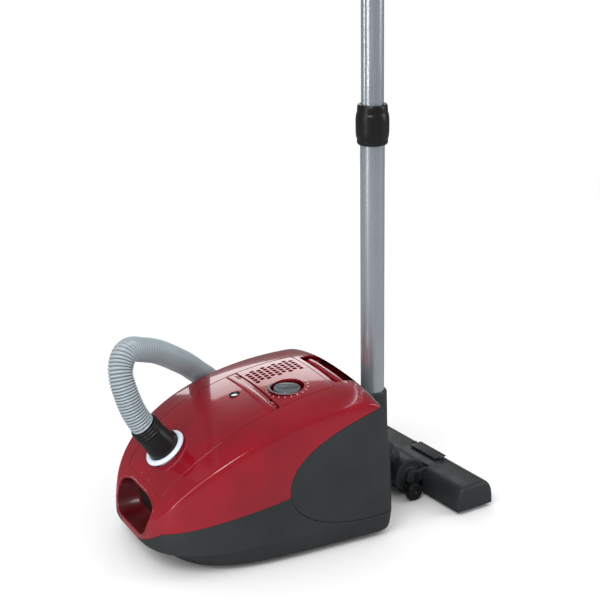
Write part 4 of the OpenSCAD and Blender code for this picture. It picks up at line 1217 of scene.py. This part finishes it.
def floor_head():
    half = HEAD_W / 2
    inner = half - 0.0175
    obj = head_block("grey_head", HEAD_Y - inner, HEAD_Y + inner, (False, False), 0)
    room = head_block("room", HEAD_Y - inner + 0.003, HEAD_Y + inner - 0.003, (False, False), 0)
    for v in room.data.vertices:
        p = NOZZLE.inverted() @ v.co
        p.z = p.z - 0.003 if p.z > 0.006 else -0.01
        p.x = HEAD_X + (p.x - HEAD_X) * (1 - 0.003 / (HEAD_D / 2))
        v.co = NOZZLE @ p
    boolean(obj, "DIFFERENCE", room)
    notch = nozzle_box((DRUM_X - 0.04, -0.047, -0.01), (DRUM_X + 0.0305, 0.047, 0.08), 0.002, 3)
    boolean(obj, "DIFFERENCE", raw("notch", *notch))
    extra = [nozzle_box((DRUM_X + 0.0305, -0.050, 0.0155), (DRUM_X + 0.0335, 0.050, HEAD_TOP - 0.003),
                        0.0006, 2)]
    for s in SIDES:
        extra.append(nozzle_box((HEAD_X - HEAD_D / 2 + 0.001, s * 0.0485 - 0.0015, 0.0155),
                                (DRUM_X + 0.033, s * 0.0485 + 0.0015, HEAD_TOP - 0.008), 0.0006, 2))
        extra.append(nozzle_box((DRUM_X, s * 0.042 - 0.003, DRUM_Z - 0.009),
                                (DRUM_X + 0.033, s * 0.042 + 0.003, DRUM_Z + 0.009), 0.001, 3))
        axle = crosswise(DRUM_X, s * 0.042, DRUM_Z)
        extra.append(turned(disc(0.012, -0.003, 0.003), axle, 64, 0.0008))
        extra.append(turned(disc(0.006, min(0, -s * 0.012), max(0, -s * 0.012)), axle, 40, 0.0004))
        extra.append(nozzle_box((PEDAL_X - 0.004, PEDAL_Y + s * 0.035 - 0.002, HEAD_TOP - 0.003),
                                (PEDAL_X + 0.004, PEDAL_Y + s * 0.035 + 0.002, PEDAL_Z + 0.0028), 0.001, 3))
    obj.name = "grey_head"
    settle(obj, "head", "base_grey", ["nozzle_head"])
    piece("head_lugs", *combined(*extra), "head", "base_grey")
    for s, name in ((-1, "head_end_near"), (1, "head_end_far")):
        a, b = sorted((HEAD_Y + s * (half - 0.0170), HEAD_Y + s * (half - 0.0005)))
        cap = head_block(name, a, b, (s < 0, s > 0), 0.007)
        settle(cap, "head", "base_grey", ["end_caps"])
    parts = [nozzle_box((PEDAL_X - 0.011, PEDAL_Y - 0.0325, PEDAL_Z - 0.001),
                        (PEDAL_X + 0.011, PEDAL_Y + 0.0325, PEDAL_Z + 0.0016), 0.0012, 4)]
    parts += [nozzle_box((PEDAL_X - 0.0080 + 0.0042 * i, PEDAL_Y - 0.027, PEDAL_Z + 0.0012),
                         (PEDAL_X - 0.0062 + 0.0042 * i, PEDAL_Y + 0.027, PEDAL_Z + 0.0021), 0.0004, 2)
              for i in range(4)]
    parts.append(turned(disc(0.002, -0.037, 0.037), crosswise(PEDAL_X, PEDAL_Y, PEDAL_Z), 32, 0.0003))
    piece("height_pedal", *combined(*parts), "pedal", "black_plastic", ["nozzle_pedal"],
          MATERIALS["base_grey"])
    bristles()


def bristles():
    """Two rows of bristle tufts on their strips."""
    parts = []
    tuft = [(AXIS_R, 0.0), (0.0013, 0.0002), (0.0011, 0.0060), (AXIS_R, 0.0060)]
    for s in SIDES:
        x = HEAD_X + s * 0.017
        parts.append(nozzle_box((x - 0.0025, HEAD_Y - 0.104, 0.010), (x + 0.0025, HEAD_Y + 0.104, 0.014),
                                0.0005, 2))
        parts.append(nozzle_box((HEAD_X - 0.017, HEAD_Y + s * 0.098 - 0.002, 0.0112),
                                (HEAD_X + 0.017, HEAD_Y + s * 0.098 + 0.002, 0.0138), 0.0005, 2))
        for i in range(69):
            place = NOZZLE @ Matrix.Translation((x, HEAD_Y - 0.102 + 0.003 * i, 0.0048))
            parts.append(turned(tuft, place, 8, 0))
    piece("bristle_rows", *combined(*parts), "brush", "bristle", ["brush_strip"])


# ---------------------------------------------------------------- dust bag
def dust_bag():
    """A paper bag, pillowy between its folded edges."""
    levels = 22
    rings = []
    for i in range(levels + 1):
        t = i / levels
        z = 0.0595 + 0.1145 * t
        puff = math.sin(math.pi * min(1.0, max(0.0, t))) ** 0.5
        middle = -0.112 + 0.008 * t
        deep = 0.030 + 0.011 * puff if t < 0.75 else (0.030 + 0.011 * puff) * (1 - 0.35 * (t - 0.75) / 0.25)
        wide = 0.078 + 0.012 * puff - 0.008 * t
        ring = []
        for k in range(64):
            a = 2 * math.pi * k / 64
            fold = 0.0012 * math.sin(9 * a + 5 * t) + 0.0008 * math.sin(17 * a - 9 * t)
            c, s = math.cos(a), math.sin(a)
            ring.append((middle + (deep + fold) * math.copysign(abs(c) ** 0.75, c),
                         (wide + fold) * math.copysign(abs(s) ** 0.75, s), z))
        rings.append(ring)
    piece("paper_bag", *joined(rings), "canister", "paper", ["dust_bag"])


# ---------------------------------------------------------------- light and floor
def area_light(name, at, target, size, power, colour=(1, 1, 1)):
    data = bpy.data.lights.new(name, "AREA")
    data.shape = "RECTANGLE"
    data.size, data.size_y = size
    data.energy = power
    data.color = colour
    obj = bpy.data.objects.new(name, data)
    bpy.context.scene.collection.objects.link(obj)
    obj.matrix_world = along(Vector(at) - Vector(target), at)


FLOOR_R = 2.1


def studio():
    """The floor, the lights and the world. Floor and world are darker to reflection rays than they look."""
    around = [(FLOOR_R * math.cos(a), FLOOR_R * math.sin(a), 0)
              for a in (2 * math.pi * k / 96 for k in range(96))]
    floor = raw("floor", around, [tuple(range(96))])
    floor.location.z = -0.0002
    mat, nodes, links, bsdf = shader_nodes("pale_floor")
    place = nodes.new("ShaderNodeTexCoord").outputs["Object"]
    cloud = noise(nodes, links, place, 0.6)
    pale = mix_colour(nodes, links, cloud, (0.87, 0.87, 0.87), (0.90, 0.90, 0.90))
    mirrored = nodes.new("ShaderNodeLightPath").outputs["Is Glossy Ray"]
    links.new(mix_colour(nodes, links, mirrored, pale, (0.24, 0.24, 0.25)), bsdf.inputs["Base Color"])
    bsdf.inputs["Roughness"].default_value = 0.9
    floor.data.materials.append(mat)
    area_light("key", (-1.6, -1.5, 2.4), (-0.05, 0, 0.15), (1.2, 1.2), 40)
    area_light("rear", (0.75, 2.3, 1.15), (-0.05, 0, 0.2), (1.6, 0.9), 10)
    area_light("fill", (2.0, -1.1, 1.2), (0, 0, 0.2), (0.8, 1.6), 14)
    area_light("strip", (-1.9, -0.5, 0.9), (0.13, 0, 0.6), (0.25, 1.8), 9)
    world = bpy.data.worlds.new("studio")
    bpy.context.scene.world = world
    world.use_nodes = True
    nodes, links = world.node_tree.nodes, world.node_tree.links
    ray = nodes.new("ShaderNodeLightPath")
    level = nodes.new("ShaderNodeMapRange")
    level.inputs["To Min"].default_value = 0.85
    level.inputs["To Max"].default_value = 0.16
    links.new(ray.outputs["Is Glossy Ray"], level.inputs["Value"])
    seen = nodes.new("ShaderNodeMath")
    seen.operation = "MAXIMUM"
    links.new(ray.outputs["Is Camera Ray"], seen.inputs[0])
    links.new(level.outputs["Result"], seen.inputs[1])
    links.new(seen.outputs["Value"], nodes["Background"].inputs["Strength"])
    nodes["Background"].inputs["Color"].default_value = (1, 1, 1, 1)
    bpy.context.scene.view_settings.view_transform = "Standard"


upper_housing()
handle_well()
dust_lid()
lid_ridge()
motor_cover()
hidden_sheets()
scale_marks()
side_panel(-1)
side_panel(1)
rear_cover()
base_shell()
front_grip()
hose_socket()
indicator()
power_dial()
carry_handle()
wheels()
wand()
elbow()
neck()
floor_head()
dust_bag()
studio()
